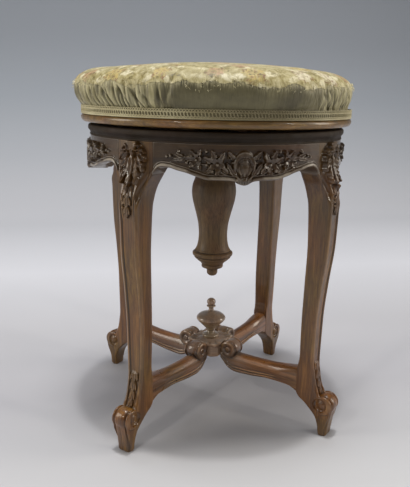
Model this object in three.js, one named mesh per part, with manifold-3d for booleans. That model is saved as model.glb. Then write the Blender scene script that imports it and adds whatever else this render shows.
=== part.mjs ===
// A revolving piano stool in carved walnut, in millimetres, +Z up.
// The origin is on the floor, on the axis that the seat turns about, and one apron faces -Y.
// The base is four cabriole legs, four curved aprons under a moulded ring, and a stretcher of four
// scrolled arms that meet at a boss with an urn on it. The seat stands on a steel screw, which
// runs in an iron nut on two crossed rails and goes down inside a turned pendant.
import * as THREE from 'three';
import { mergeVertices } from 'three/addons/utils/BufferGeometryUtils.js';
import Module from 'manifold-3d';

const wasm = await Module();
wasm.setup();

// Height of the crown above the floor, height of the seat, and the gaps between pieces
const crownHeight = 500;
const seatHeight = 81.5;
const runningGap = 3.5;
const seam = 0.3;
const overrun = 5;

// The moulded ring on top of the base
const ringRadius = 177;
const ringWidth = 29;
const ringThickness = 13.7;
const ringStep = 2.5;

// Legs: radial depth and width of the shank, and the joints at the top
const legDepth = 24;
const legWidth = 28;
const legCorner = 4;
const channelDepth = 1.4;
const footScrollRadius = 14;
const footScrollWidth = 26;
const dowelRadius = 5;
const dowelLength = 28;
const dowelMargin = 2;

// Aprons
const apronThickness = 24;
const apronInset = 3;
const apronDepth = 44;
const beadWidth = 5;
const beadProud = 2;
const carvingProud = 5.5;

// Crossed rails that carry the nut
const railWidth = 44;
const railHeight = 22;
const railHousing = 5;

// Stretcher arms, their scrolls and the boss. The arms' height is a share of the legs'.
const armHeightShare = 0.1796;
const armDepth = 25;
const armWidth = 25;
const scrollRadius = 12;
const scrollWidth = 26;
const bossHalf = 26;
const bossCorner = 9;
const bossRise = 3;
const bossThickness = 17;
const plateRadius = 29.5;
const plateLobe = 4.5;
const plateThickness = 4.6;
const armDowelRadius = 4;
const armDowelLength = 24;

// Urn finial on the boss. It takes a share of the height between the boss and the rails, and the
// pendant and its drop take theirs.
const urnHeightShare = 0.2174;
const pendantLengthShare = 0.587;
const dropLengthShare = 0.0694;
const urnRadius = 22.2;
const spigotRadius = 5;
const spigotLength = 14;

// Pendant that hides the screw, and the drop at its foot
const pendantRadius = 32;
const pendantBore = 14;
const pendantWall = 8;
const boreClearance = 8;
const dropRadius = 16;
const dropSpigotRadius = 4.5;
const dropSpigotLength = 12;

// Screw, nut and flange
const screwPitch = 10;
const screwRadius = 10;
const threadDepth = 2.2;
const threadRootShare = 0.36;
const threadCrestShare = 0.16;
const threadClearance = 0.35;
const nutFlangeRadius = 36;
const nutFlangeThickness = 5;
const nutHubRadius = 19;
const nutLength = 33.7;
const restGap = 0.5;
const seatFlangeRadius = 45;
const seatFlangeThickness = 5;
const seatHubRadius = 16;
const pinRadius = 2;
const washerRadius = 12.5;
const washerThickness = 4;
const journalRadius = 5.5;
const keeperHeadRadius = 8;
const keeperHeadHeight = 3.5;
const keeperShankRadius = 3;
const keeperShankLength = 14;

// Wood screws
const screwHeadRadius = 4.5;
const screwHeadHeight = 2.5;
const screwShankRadius = 2.2;
const nutScrewLength = 18;
const nutScrewCircle = 28;
const seatScrewLength = 13;
const seatScrewCircle = 34;

// Seat: moulded board, tacking board, stuffing, silk cover and gimp braid
const seatOverhang = 13.5;
const seatBoardInset = 4.5;
const seatBoardThickness = 10;
const tackingInset = 11;
const tackingThickness = 12.4;
const coverThickness = 3.4;
const gatherDepth = 2.2;
const gatherPitch = 14;
const gimpHeightShare = 0.1615;
const gimpThickness = 2;

// Numbers of facets
const roundSides = 48;
const smallSides = 8;
const turnedSides = 24;
const midSides = 16;
const threadSteps = 10;

// Heights and radii that follow from the sizes above
const baseHeight = crownHeight - seatHeight - runningGap;
const legHeight = baseHeight - ringThickness - seam;
const armHeight = legHeight * armHeightShare;
const bossBottom = armHeight + bossRise;
const bossTop = bossBottom + bossThickness;
const plateTop = bossTop + plateThickness;
const railBottom = legHeight - railHeight;
const nutTop = legHeight + nutFlangeThickness;
const nutBottom = nutTop - nutLength;
const seatBottom = baseHeight + runningGap;
const flangeBottom = seatBottom - seatFlangeThickness;
const hubBottom = nutTop + restGap;
const pinHeight = (hubBottom + flangeBottom) / 2;
const tackingBottom = seatBottom + seatBoardThickness + seam;
const tackingTop = tackingBottom + tackingThickness;
const coverHeight = crownHeight - tackingBottom;
const coverRadius = ringRadius + seatOverhang;
const seatBoardRadius = coverRadius - seatBoardInset;
const tackingRadius = coverRadius - tackingInset;

// The pendant, its drop and the urn share the height between the rails and the boss
const openHeight = railBottom - plateTop;
const urnHeight = openHeight * urnHeightShare;
const dropLength = openHeight * dropLengthShare;
const pendantLength = openHeight * pendantLengthShare;
const pendantTop = railBottom - seam;
const pendantBottom = pendantTop - pendantLength;

// The screw makes as many whole turns as the pendant has room for
const stopLength = washerThickness + seam + keeperHeadHeight + boreClearance;
const lowestBore = pendantBottom + dropSpigotLength + pendantWall;
const screwTurns = Math.floor((nutBottom - restGap - stopLength - lowestBore) / screwPitch);
const travel = screwPitch * screwTurns;
const washerTop = nutBottom - travel - restGap;
const washerBottom = washerTop - washerThickness;
const journalBottom = washerBottom - seam;
const keeperBottom = journalBottom - keeperHeadHeight;
const boreBottom = keeperBottom - boreClearance;
const quarter = Math.PI / 2;
const eighth = Math.PI / 4;

// Materials
function finish(color, roughness, metalness) {
  return new THREE.MeshStandardMaterial({ color, roughness, metalness });
}

const walnutBrown = () => finish(0x6f4a2e, 0.42, 0);
const walnutDark = () => finish(0x4a3222, 0.45, 0);
const beechPlain = () => finish(0xb08d62, 0.6, 0);
const ironBlack = () => finish(0x3a3836, 0.5, 0.9);
const steelBare = () => finish(0x8c8a86, 0.35, 1);
const silkStraw = () => finish(0xb3a271, 0.6, 0);
const stuffingHair = () => finish(0x5b4a38, 0.95, 0);
const braidOlive = () => finish(0x8a7c50, 0.8, 0);

// Solids for the cuts and joins
function solidOf(geometry) {
  const bare = geometry.clone();
  bare.deleteAttribute('normal');
  bare.deleteAttribute('uv');
  const merged = mergeVertices(bare);
  const vertProperties = Float32Array.from(merged.attributes.position.array);
  const triVerts = Uint32Array.from(merged.index.array);
  return new wasm.Manifold(new wasm.Mesh({ numProp: 3, vertProperties, triVerts }));
}

function geometryOf(solid) {
  const { vertProperties, triVerts } = solid.getMesh();
  const geometry = new THREE.BufferGeometry();
  geometry.setAttribute('position', new THREE.BufferAttribute(vertProperties, 3));
  geometry.setIndex(new THREE.BufferAttribute(triVerts, 1));
  geometry.computeVertexNormals();
  return geometry;
}

// Six times the volume that a closed mesh holds, negative if its faces point inwards
function signedVolume(points, faces) {
  let sum = 0;
  for (const [a, b, c] of faces) {
    const cross = new THREE.Vector3().crossVectors(points[b], points[c]);
    sum += points[a].dot(cross);
  }
  return sum;
}

function meshFrom(points, faces) {
  const outward = signedVolume(points, faces) > 0;
  const order = faces.map(([a, b, c]) => (outward ? [a, b, c] : [a, c, b]));
  const geometry = new THREE.BufferGeometry().setFromPoints(points);
  geometry.setIndex(order.flat());
  geometry.computeVertexNormals();
  return geometry;
}

// Triangles that close a flat ring of points
function capFaces(ring, first) {
  const normal = new THREE.Vector3();
  ring.forEach((point, i) => {
    const next = ring[(i + 1) % ring.length];
    normal.add(new THREE.Vector3().crossVectors(point, next));
  });
  normal.normalize();
  const turn = new THREE.Quaternion().setFromUnitVectors(normal, new THREE.Vector3(0, 0, 1));
  const flat = ring.map((point) => {
    const turned = point.clone().applyQuaternion(turn);
    return new THREE.Vector2(turned.x, turned.y);
  });
  return THREE.ShapeUtils.triangulateShape(flat, []).map((face) => face.map((i) => first + i));
}

// A closed skin over a row of rings with equal numbers of points, capped at both ends
function loft(rings) {
  const count = rings[0].length;
  const points = rings.flat();
  const faces = [];
  for (let i = 0; i < rings.length - 1; i += 1) {
    for (let j = 0; j < count; j += 1) {
      const a = i * count + j;
      const b = i * count + ((j + 1) % count);
      faces.push([a, b, b + count]);
      faces.push([a, b + count, a + count]);
    }
  }
  const last = (rings.length - 1) * count;
  for (const [a, b, c] of capFaces(rings[0], 0)) faces.push([a, c, b]);
  for (const face of capFaces(rings[rings.length - 1], last)) faces.push(face);
  return meshFrom(points, faces);
}

function polar(radius, angle, height) {
  return new THREE.Vector3(radius * Math.cos(angle), radius * Math.sin(angle), height);
}

// A turned piece: its profile runs from the axis back to the axis as [radius, height]
function turned(profile, sides) {
  const points = profile.map(([radius, height]) => new THREE.Vector2(radius, height));
  return new THREE.LatheGeometry(points, sides).rotateX(quarter);
}

function upright(radius, bottom, top, sides) {
  return turned([[0, bottom], [radius, bottom], [radius, top], [0, top]], sides);
}

// A round bar along X, from one place to another, at a height
function barAlong(radius, start, end, height, sides) {
  const bar = new THREE.CylinderGeometry(radius, radius, end - start, sides);
  return bar.rotateZ(quarter).translate((start + end) / 2, 0, height);
}

// A round bar across, along Y, centred at a radius and a height
function barAcross(radius, width, place, height, sides) {
  const bar = new THREE.CylinderGeometry(radius, radius, width, sides);
  return bar.translate(place, 0, height);
}

// The corner radius of a faceted hole whose flats clear a round piece by a gap
function holeRadius(radius, sides, gap = seam) {
  return (radius + gap) / Math.cos((2 * quarter) / sides);
}

function box(lowX, highX, halfY, lowZ, highZ) {
  const block = new THREE.BoxGeometry(highX - lowX, halfY * 2, highZ - lowZ);
  return block.translate((lowX + highX) / 2, 0, (lowZ + highZ) / 2);
}

function interpolate(shares, x) {
  const last = shares.findIndex(([at]) => at >= x);
  if (last <= 0) return shares[0][1];
  const [x0, y0] = shares[last - 1];
  const [x1, y1] = shares[last];
  return y0 + ((y1 - y0) * (x - x0)) / (x1 - x0);
}

const stool = new THREE.Group();

function add(name, geometry, material, angle = 0) {
  const mesh = new THREE.Mesh(geometry, material);
  mesh.name = name;
  mesh.rotation.z = angle;
  stool.add(mesh);
}

// Legs stand on the diagonals and aprons between them, each named with its angle from +X
const legPlaces = [['front_left', -3 * eighth], ['front_right', -eighth],
  ['back_right', eighth], ['back_left', 3 * eighth]];
const apronPlaces = [['front', -quarter], ['right', 0], ['back', quarter], ['left', 2 * quarter]];

// Leg stations up its height, as shares: height of the leg, inner radius of the ring's radius,
// depth of legDepth, and width of legWidth. The stretcher seats where the inner radius is constant.
const armSeatShare = 0.864;
const legTopShare = 0.836;
const legTopWidthShare = 1.93;
const legShares = [
  [0, 1.062, 0.46, 0.71],
  [0.03, 1.054, 0.58, 0.75],
  [0.062, 1.034, 0.81, 0.82],
  [0.08, 1.006, 1.08, 0.89],
  [0.1, 0.95, 1.38, 0.91],
  [0.128, armSeatShare, 1.54, 0.9],
  [0.15, armSeatShare, 1.38, 0.87],
  [0.187, armSeatShare, 1.17, 0.86],
  [0.23, armSeatShare, 1.04, 0.86],
  [0.275, 0.878, 0.88, 0.93],
  [0.4, 0.878, 0.9, 1.01],
  [0.53, 0.883, 1.03, 1],
  [0.65, 0.889, 1.22, 1],
  [0.725, 0.884, 1.31, 1.11],
  [0.8, 0.876, 1.38, 1.36],
  [0.85, 0.853, 1.5, 1.61],
  [0.9, legTopShare, 1.58, 1.87],
  [0.92, legTopShare, 1.54, legTopWidthShare],
  [0.96, legTopShare, 1.5, legTopWidthShare],
  [1, legTopShare, 1.2, legTopWidthShare],
];
const channelLowShare = 0.25;
const channelHighShare = 0.75;
const footScrollShares = { height: 0.115, radius: 1.096 };
const legTopWidth = legWidth * legTopWidthShare;
const legTopInner = ringRadius * legTopShare;
const dowelCircle = legTopInner + railHousing + dowelRadius + dowelMargin;
const apronDowelHeight = legHeight - apronDepth / 3;
const armSeatRadius = ringRadius * armSeatShare;

// The section of a leg: rounded corners, and a sunk channel between two beads on the outer face
const beadInsideShare = 0.55;
const channelShare = 0.4;

function legRing([heightShare, innerShare, depthShare, widthShare]) {
  const height = legHeight * heightShare;
  const inner = ringRadius * innerShare;
  const outer = inner + legDepth * depthShare;
  const half = (legWidth * widthShare) / 2;
  const corner = Math.min(legCorner, half / 2);
  const sunk = heightShare > channelLowShare && heightShare < channelHighShare ? channelDepth : 0;
  const side = [
    [inner, half - corner],
    [inner + corner, half],
    [outer - corner, half],
    [outer, half - corner],
    [outer, half * beadInsideShare],
    [outer - sunk, half * channelShare],
  ];
  const other = [...side].reverse().map(([x, y]) => [x, -y]);
  return [...side, ...other].map(([x, y]) => new THREE.Vector3(x, y, height));
}

function apronDowel(side, radius, length) {
  const bar = new THREE.CylinderGeometry(radius, radius, length, smallSides);
  return bar.translate(dowelCircle, side * (legTopWidth + seam) / 2, apronDowelHeight);
}

function legGeometry() {
  const scroll = barAcross(footScrollRadius, footScrollWidth,
    ringRadius * footScrollShares.radius, legHeight * footScrollShares.height, midSides);
  const housing = box(legTopInner - overrun, legTopInner + railHousing + seam,
    railWidth / 2 + seam, railBottom - seam, legHeight + overrun);
  const armHole = barAlong(dowelRadius + seam, armSeatRadius - overrun,
    armSeatRadius + dowelLength / 2 + seam, armHeight, smallSides);
  let leg = solidOf(loft(legShares.map(legRing))).add(solidOf(scroll));
  leg = leg.subtract(solidOf(housing)).subtract(solidOf(armHole));
  for (const side of [-1, 1]) {
    leg = leg.subtract(solidOf(apronDowel(side, dowelRadius + seam, dowelLength + 2 * seam)));
  }
  return geometryOf(leg);
}

// The lower edge of an apron, from its middle to its end: share of the half span, and of its depth
const edgeShares = [[0, 1], [0.1, 1], [0.17, 0.945], [0.36, 0.94], [0.57, 0.8],
  [0.72, 0.715], [0.8, 0.65], [0.88, 0.635], [0.94, 0.67], [1, 0.75]];

// How far the carving stands out along the apron
const carvingShares = [[0, 1], [0.17, 0.95], [0.36, 0.75], [0.57, 0.6], [0.72, 0.35],
  [0.8, 0], [1, 0]];

function apronRing(share) {
  const outer = ringRadius - apronInset;
  const inner = outer - apronThickness;
  const bottom = legHeight - apronDepth * interpolate(edgeShares, Math.abs(share));
  const carved = outer + carvingProud * interpolate(carvingShares, Math.abs(share));
  const fieldBottom = bottom + beadWidth;
  const field = legHeight - fieldBottom;
  const section = [
    [inner, legHeight],
    [inner, bottom],
    [outer + beadProud / 2, bottom],
    [outer + beadProud, bottom + beadWidth / 2],
    [outer, fieldBottom],
    [carved, fieldBottom + field * 0.3],
    [carved, fieldBottom + field * 0.65],
    [outer, legHeight - field * 0.12],
    [outer, legHeight],
  ];
  return section.map(([radius, height]) => {
    const halfSpan = eighth - Math.asin((legTopWidth / 2 + seam) / radius);
    return polar(radius, share * halfSpan, height);
  });
}

function apronGeometry() {
  const half = edgeShares.map(([share]) => share);
  const shares = [...half.slice(1).reverse().map((share) => -share), ...half];
  let apron = solidOf(loft(shares.map(apronRing)));
  for (const side of [-1, 1]) {
    const dowel = apronDowel(-side, dowelRadius + seam, dowelLength + 2 * seam);
    apron = apron.subtract(solidOf(dowel.rotateZ(side * eighth)));
  }
  return geometryOf(apron);
}

// One quarter of the base's top ring, with a step and a cove under its edge
function ringQuarter() {
  const bottom = legHeight + seam;
  const inner = ringRadius - ringWidth;
  const profile = [
    [inner, bottom],
    [ringRadius - ringStep, bottom],
    [ringRadius - ringStep * 0.8, bottom + ringThickness * 0.25],
    [ringRadius, bottom + ringThickness * 0.5],
    [ringRadius, baseHeight - ringStep / 2],
    [ringRadius - ringStep / 2, baseHeight],
    [inner, baseHeight],
  ];
  const steps = roundSides / 4;
  const rings = [];
  for (let i = 0; i <= steps; i += 1) {
    const share = (2 * i) / steps - 1;
    const ring = profile.map(([radius, height]) => {
      const halfSpan = eighth - Math.asin(seam / 2 / radius);
      return polar(radius, share * halfSpan, height);
    });
    rings.push(ring);
  }
  return loft(rings);
}

function railGeometry(upper) {
  const reach = legTopInner + railHousing;
  const middle = railBottom + railHeight / 2;
  const half = railWidth / 2 + seam;
  const lap = upper
    ? box(-half, half, half, railBottom - overrun, middle)
    : box(-half, half, half, middle - seam, legHeight + overrun);
  let rail = solidOf(box(-reach, reach, railWidth / 2, railBottom, legHeight));
  rail = rail.subtract(solidOf(lap));
  rail = rail.subtract(solidOf(upright(nutHubRadius + seam, railBottom - overrun,
    legHeight + overrun, turnedSides)));
  for (const side of [-1, 1]) {
    const hole = upright(screwShankRadius + seam, nutTop - nutScrewLength - seam,
      legHeight + overrun, smallSides);
    rail = rail.subtract(solidOf(hole.translate(side * nutScrewCircle, 0, 0)));
  }
  return geometryOf(rail);
}

// A wood screw with its head's bearing face at a height, pointing down or up
function woodScrew(length, bearing, down) {
  const way = down ? 1 : -1;
  const profile = [
    [0, bearing + way * screwHeadHeight],
    [screwHeadRadius * 0.8, bearing + way * screwHeadHeight],
    [screwHeadRadius, bearing],
    [screwShankRadius, bearing],
    [screwShankRadius, bearing - way * length * 0.8],
    [0, bearing - way * length],
  ];
  return turned(down ? profile.reverse() : profile, smallSides);
}

// The thread's ridge: it climbs one pitch in each turn anticlockwise, from the floor's level
function threadRidge(bottom, top, root, crest, widening) {
  const rings = [];
  const first = Math.ceil((bottom / screwPitch) * threadSteps);
  const last = Math.floor((top / screwPitch) * threadSteps);
  const rootHalf = screwPitch * threadRootShare + widening;
  const crestHalf = screwPitch * threadCrestShare + widening;
  for (let step = first; step <= last; step += 1) {
    const height = (step * screwPitch) / threadSteps;
    const angle = (step * 4 * quarter) / threadSteps;
    rings.push([
      polar(root, angle, height - rootHalf),
      polar(crest, angle, height - crestHalf),
      polar(crest, angle, height + crestHalf),
      polar(root, angle, height + rootHalf),
    ]);
  }
  return loft(rings);
}

const coreRadius = screwRadius - threadDepth;

function spindleGeometry() {
  const core = turned([[0, journalBottom], [journalRadius, journalBottom],
    [journalRadius, washerTop], [coreRadius, washerTop],
    [coreRadius, seatBottom - seam], [0, seatBottom - seam]], threadSteps).rotateZ(quarter);
  const ridge = threadRidge(washerTop + screwPitch / 2, hubBottom - screwPitch / 2,
    coreRadius - threadDepth / 2, screwRadius, 0);
  const keeperHole = upright(keeperShankRadius + seam, journalBottom - overrun,
    journalBottom + keeperShankLength + seam, smallSides);
  const pinHole = barAlong(pinRadius + seam, -screwRadius, screwRadius, pinHeight, smallSides);
  const spindle = solidOf(core).add(solidOf(ridge));
  return geometryOf(spindle.subtract(solidOf(keeperHole)).subtract(solidOf(pinHole)));
}

function nutGeometry() {
  const body = turned([[0, nutBottom], [nutHubRadius, nutBottom], [nutHubRadius, legHeight],
    [nutFlangeRadius, legHeight], [nutFlangeRadius, nutTop], [0, nutTop]], turnedSides);
  const bore = upright(holeRadius(coreRadius, threadSteps, threadClearance), nutBottom - overrun,
    nutTop + overrun, threadSteps).rotateZ(quarter);
  const ridge = threadRidge(nutBottom - screwPitch, nutTop + screwPitch,
    coreRadius - threadDepth / 2, holeRadius(screwRadius, threadSteps, threadClearance),
    threadClearance);
  let nut = solidOf(body).subtract(solidOf(bore)).subtract(solidOf(ridge));
  for (let i = 0; i < 4; i += 1) {
    const hole = upright(screwShankRadius + seam, legHeight - overrun, nutTop + overrun, smallSides);
    hole.translate(nutScrewCircle, 0, 0).rotateZ(i * quarter + eighth);
    nut = nut.subtract(solidOf(hole));
  }
  return geometryOf(nut);
}

function seatFlangeGeometry() {
  const body = turned([[0, hubBottom], [seatHubRadius, hubBottom], [seatHubRadius, flangeBottom],
    [seatFlangeRadius, flangeBottom], [seatFlangeRadius, seatBottom], [0, seatBottom]],
  turnedSides);
  const bore = upright(holeRadius(coreRadius, threadSteps), hubBottom - overrun,
    seatBottom + overrun, threadSteps).rotateZ(quarter);
  const pinHole = barAlong(pinRadius + seam, -seatHubRadius - overrun, seatHubRadius + overrun,
    pinHeight, smallSides);
  let flange = solidOf(body).subtract(solidOf(bore)).subtract(solidOf(pinHole));
  for (let i = 0; i < 4; i += 1) {
    const hole = upright(screwShankRadius + seam, flangeBottom - overrun, seatBottom + overrun,
      smallSides);
    flange = flange.subtract(solidOf(hole.translate(seatScrewCircle, 0, 0).rotateZ(i * quarter)));
  }
  return geometryOf(flange);
}

function washerGeometry() {
  const bore = holeRadius(journalRadius, turnedSides);
  return turned([[bore, washerBottom], [washerRadius, washerBottom], [washerRadius, washerTop - seam],
    [bore, washerTop - seam], [bore, washerBottom]], turnedSides);
}

function keeperGeometry() {
  const top = journalBottom - seam;
  return turned([[0, keeperBottom], [keeperHeadRadius * 0.8, keeperBottom],
    [keeperHeadRadius, keeperBottom + keeperHeadHeight * 0.4], [keeperHeadRadius, top],
    [keeperShankRadius, top], [keeperShankRadius, top + keeperShankLength],
    [0, top + keeperShankLength]], smallSides);
}

// The pendant's outline from its foot up: share of the length, and of the greatest radius
const pendantShares = [[0, 0.53], [0.04, 0.75], [0.085, 0.91], [0.11, 0.91], [0.165, 0.74],
  [0.21, 0.67], [0.27, 0.653], [0.35, 0.685], [0.44, 0.78], [0.52, 0.89], [0.6, 0.98],
  [0.65, 1], [0.705, 0.97], [0.76, 0.87], [0.82, 0.82], [0.87, 0.95], [0.91, 1.02], [1, 1.02]];

function pendantGeometry() {
  const outline = pendantShares.map(([along, across]) => [pendantRadius * across,
    pendantBottom + pendantLength * along]);
  const body = turned([[0, pendantBottom], ...outline, [0, pendantTop]], turnedSides);
  const bore = upright(pendantBore, boreBottom, pendantTop + overrun, smallSides * 2);
  const seat = upright(nutHubRadius + seam, nutBottom - seam, pendantTop + overrun, turnedSides);
  const foot = upright(holeRadius(dropSpigotRadius, midSides), pendantBottom - overrun,
    pendantBottom + dropSpigotLength, midSides);
  const pendant = solidOf(body).subtract(solidOf(bore)).subtract(solidOf(seat));
  return geometryOf(pendant.subtract(solidOf(foot)));
}

// The drop's outline from its shoulder down
const dropShares = [[0, 0.9], [0.05, 1], [0.28, 1], [0.4, 0.7], [0.48, 0.51], [0.63, 0.48],
  [0.8, 0.42], [0.93, 0.25], [1, 0]];

function dropGeometry() {
  const shoulder = pendantBottom - seam;
  const outline = dropShares.map(([along, across]) => [dropRadius * across,
    shoulder - dropLength * along]);
  const top = shoulder + dropSpigotLength;
  return turned([...outline.reverse(), [dropSpigotRadius, shoulder], [dropSpigotRadius, top],
    [0, top]], midSides);
}

// Arm stations from the boss to the leg, as shares: run, centre above armHeight and depth, both
// of armDepth, and width of armWidth
const armShares = [
  [0, 0.32, 0.44, 0.96],
  [0.045, 0.16, 0.7, 1],
  [0.1, 0, 0.98, 1],
  [0.2, -0.09, 1.1, 1],
  [0.4, -0.06, 1.03, 1],
  [0.62, 0.01, 0.98, 1],
  [0.79, 0.04, 1.06, 1],
  [0.9, 0, 1.28, 0.98],
  [1, -0.06, 1.5, 0.96],
];

// The arm's section: share of the half width, and of the depth from the underside
const armSectionShares = [[0.8, 0], [1, 0.1], [1, 0.24], [0.88, 0.34], [0.88, 0.7], [0.45, 1]];

const armInner = bossHalf + seam;
const armOuter = armSeatRadius - seam;

function armRing([runShare, centreShare, depthShare, widthShare]) {
  const place = armInner + (armOuter - armInner) * runShare;
  const depth = armDepth * depthShare;
  const bottom = armHeight + armDepth * centreShare - depth / 2;
  const half = (armWidth * widthShare) / 2;
  const side = armSectionShares.map(([across, up]) => [half * across, bottom + depth * up]);
  const other = [...side].reverse().map(([y, z]) => [-y, z]);
  return [...side, ...other].map(([y, z]) => new THREE.Vector3(place, y, z));
}

const scrollPlace = armInner + scrollRadius;
const scrollHeight = armHeight + armDepth / 2 + scrollRadius / 4;
const bossDowelHeight = armHeight + armDepth / 2;

function bossDowelBar(radius, extra) {
  const half = armDowelLength / 2 + extra;
  return barAlong(radius, bossHalf - half, bossHalf + half, bossDowelHeight, smallSides);
}

function legDowelBar(radius, extra) {
  const half = dowelLength / 2 + extra;
  return barAlong(radius, armSeatRadius - half, armSeatRadius + half, armHeight, smallSides);
}

function armGeometry() {
  const scroll = barAcross(scrollRadius, scrollWidth, scrollPlace, scrollHeight, midSides);
  const arm = solidOf(loft(armShares.map(armRing))).add(solidOf(scroll));
  const holes = solidOf(bossDowelBar(armDowelRadius + seam, seam))
    .add(solidOf(legDowelBar(dowelRadius + seam, seam)));
  return geometryOf(arm.subtract(holes));
}

function roundedSquare(half, corner) {
  const shape = new THREE.Shape();
  shape.absarc(half - corner, half - corner, corner, 0, quarter);
  shape.absarc(corner - half, half - corner, corner, quarter, 2 * quarter);
  shape.absarc(corner - half, corner - half, corner, 2 * quarter, 3 * quarter);
  shape.absarc(half - corner, corner - half, corner, 3 * quarter, 4 * quarter);
  return shape;
}

// The boss's top plate has four lobes, which lie between the arms
function lobedPlate() {
  const points = [];
  for (let i = 0; i < turnedSides; i += 1) {
    const angle = (i * 4 * quarter) / turnedSides;
    const radius = plateRadius - plateLobe * Math.cos(4 * angle);
    points.push(new THREE.Vector2(radius * Math.cos(angle), radius * Math.sin(angle)));
  }
  return new THREE.Shape(points);
}

function bossGeometry() {
  const body = new THREE.ExtrudeGeometry(roundedSquare(bossHalf, bossCorner),
    { depth: bossThickness + plateThickness / 2, bevelEnabled: false, curveSegments: 4 });
  const plate = new THREE.ExtrudeGeometry(lobedPlate(), { depth: plateThickness, bevelEnabled: false });
  let boss = solidOf(body.translate(0, 0, bossBottom));
  boss = boss.add(solidOf(plate.translate(0, 0, bossTop)));
  boss = boss.subtract(solidOf(upright(holeRadius(spigotRadius, midSides),
    plateTop - spigotLength - seam, plateTop + overrun, midSides)));
  for (let i = 0; i < 4; i += 1) {
    const hole = bossDowelBar(armDowelRadius + seam, seam).rotateZ(i * quarter);
    boss = boss.subtract(solidOf(hole));
  }
  return geometryOf(boss);
}

// The urn's outline from its foot up: share of the height, and of the greatest radius
const urnShares = [[0, 0.54], [0.05, 0.57], [0.1, 0.3], [0.2, 0.21], [0.29, 0.34],
  [0.4, 0.74], [0.46, 0.96], [0.505, 1], [0.56, 0.93], [0.66, 0.65], [0.71, 0.39],
  [0.75, 0.16], [0.79, 0.18], [0.82, 0.31], [0.85, 0.27], [0.91, 0.3], [0.97, 0.2]];

function urnGeometry() {
  const foot = plateTop + seam;
  const outline = urnShares.map(([along, across]) => [urnRadius * across, foot + urnHeight * along]);
  const spigotBottom = plateTop - spigotLength;
  return turned([[0, spigotBottom], [spigotRadius, spigotBottom], [spigotRadius, foot], ...outline,
    [0, foot + urnHeight]], midSides);
}

function seatBoardGeometry() {
  const top = seatBottom + seatBoardThickness;
  let board = solidOf(turned([[0, seatBottom], [seatBoardRadius * 0.984, seatBottom],
    [seatBoardRadius * 0.996, seatBottom + seatBoardThickness * 0.2],
    [seatBoardRadius, seatBottom + seatBoardThickness * 0.5],
    [seatBoardRadius * 0.997, seatBottom + seatBoardThickness * 0.8],
    [seatBoardRadius * 0.99, top], [0, top]], roundSides));
  for (let i = 0; i < 4; i += 1) {
    const hole = upright(screwShankRadius + seam, seatBottom - overrun,
      flangeBottom + seatScrewLength + seam, smallSides);
    board = board.subtract(solidOf(hole.translate(seatScrewCircle, 0, 0).rotateZ(i * quarter)));
  }
  return geometryOf(board);
}

// The cover's outline from its lower edge to the crown: share of the cover's radius, and of the
// height from the tacking board's foot to the crown
const bandShare = 0.9617;
const coverShares = [[bandShare, 0], [bandShare, 0.165], [0.985, 0.245], [0.998, 0.38],
  [1, 0.5], [0.992, 0.6], [0.965, 0.69], [0.87, 0.8], [0.6, 0.915], [0.3, 0.98], [0, 1]];
// How deep the gathers are at each of those places, as a share of gatherDepth
const gatherShares = [0, 0.3, 0.9, 1, 0.9, 0.7, 0.3, 0, 0, 0, 0];
const gatherSpanShare = 0.42;

// Angles round the cover: a few across each smooth stretch, two to each gather over a leg
function coverAngles() {
  const gathers = Math.round((coverRadius * quarter * gatherSpanShare) / gatherPitch);
  const span = quarter * gatherSpanShare;
  const angles = [];
  for (let side = 0; side < 4; side += 1) {
    const start = side * quarter + eighth - span / 2;
    for (let i = 0; i < gathers * 2; i += 1) {
      angles.push([start + (span * i) / (gathers * 2), i % 2]);
    }
    for (let i = 0; i < 4; i += 1) angles.push([start + span + ((quarter - span) * i) / 4, 0]);
  }
  return angles;
}

function coverPoint(row, angle, wave) {
  const [across, up] = coverShares[row];
  const depth = wave * gatherShares[row] * gatherDepth;
  return polar(coverRadius * across - depth, angle, tackingBottom + coverHeight * up);
}

function coverSkin() {
  const angles = coverAngles();
  const count = angles.length;
  const rows = coverShares.length - 1;
  const points = [];
  for (let row = 0; row < rows; row += 1) {
    for (const [angle, wave] of angles) points.push(coverPoint(row, angle, wave));
  }
  const faces = [];
  for (let row = 0; row < rows - 1; row += 1) {
    for (let i = 0; i < count; i += 1) {
      const a = row * count + i;
      const b = row * count + ((i + 1) % count);
      faces.push([a, b, b + count]);
      faces.push([a, b + count, a + count]);
    }
  }
  const crown = points.length;
  points.push(new THREE.Vector3(0, 0, crownHeight));
  points.push(new THREE.Vector3(0, 0, tackingBottom));
  for (let i = 0; i < count; i += 1) {
    const next = (i + 1) % count;
    faces.push([(rows - 1) * count + i, (rows - 1) * count + next, crown]);
    faces.push([next, i, crown + 1]);
  }
  return meshFrom(points, faces);
}

// The stuffing fills the cover, and lies on the tacking board
const stuffingRows = [3, 4, 6, 7, 8, 9];
const stuffingSides = 30;

function stuffingProfile(gap) {
  const rows = stuffingRows.map((row) => {
    const [across, up] = coverShares[row];
    return [coverRadius * across - coverThickness - seam + gap,
      tackingBottom + coverHeight * up - coverThickness - seam + gap];
  });
  return [...rows, [0, crownHeight - coverThickness - seam + gap]];
}

function stuffingGeometry() {
  const bottom = tackingTop + seam;
  return turned([[0, bottom], [tackingRadius, bottom], ...stuffingProfile(0)], stuffingSides);
}

function coverGeometry() {
  const inside = turned([[0, tackingBottom - overrun], [tackingRadius + seam, tackingBottom - overrun],
    [tackingRadius + seam, tackingTop], ...stuffingProfile(seam)], stuffingSides);
  return geometryOf(solidOf(coverSkin()).subtract(solidOf(inside)));
}

function gimpGeometry() {
  const inner = holeRadius(coverRadius * bandShare, roundSides);
  const outer = inner + gimpThickness;
  const top = tackingBottom + coverHeight * gimpHeightShare;
  return turned([[inner, tackingBottom], [outer, tackingBottom], [outer, top],
    [inner, top], [inner, tackingBottom]], roundSides);
}

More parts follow.
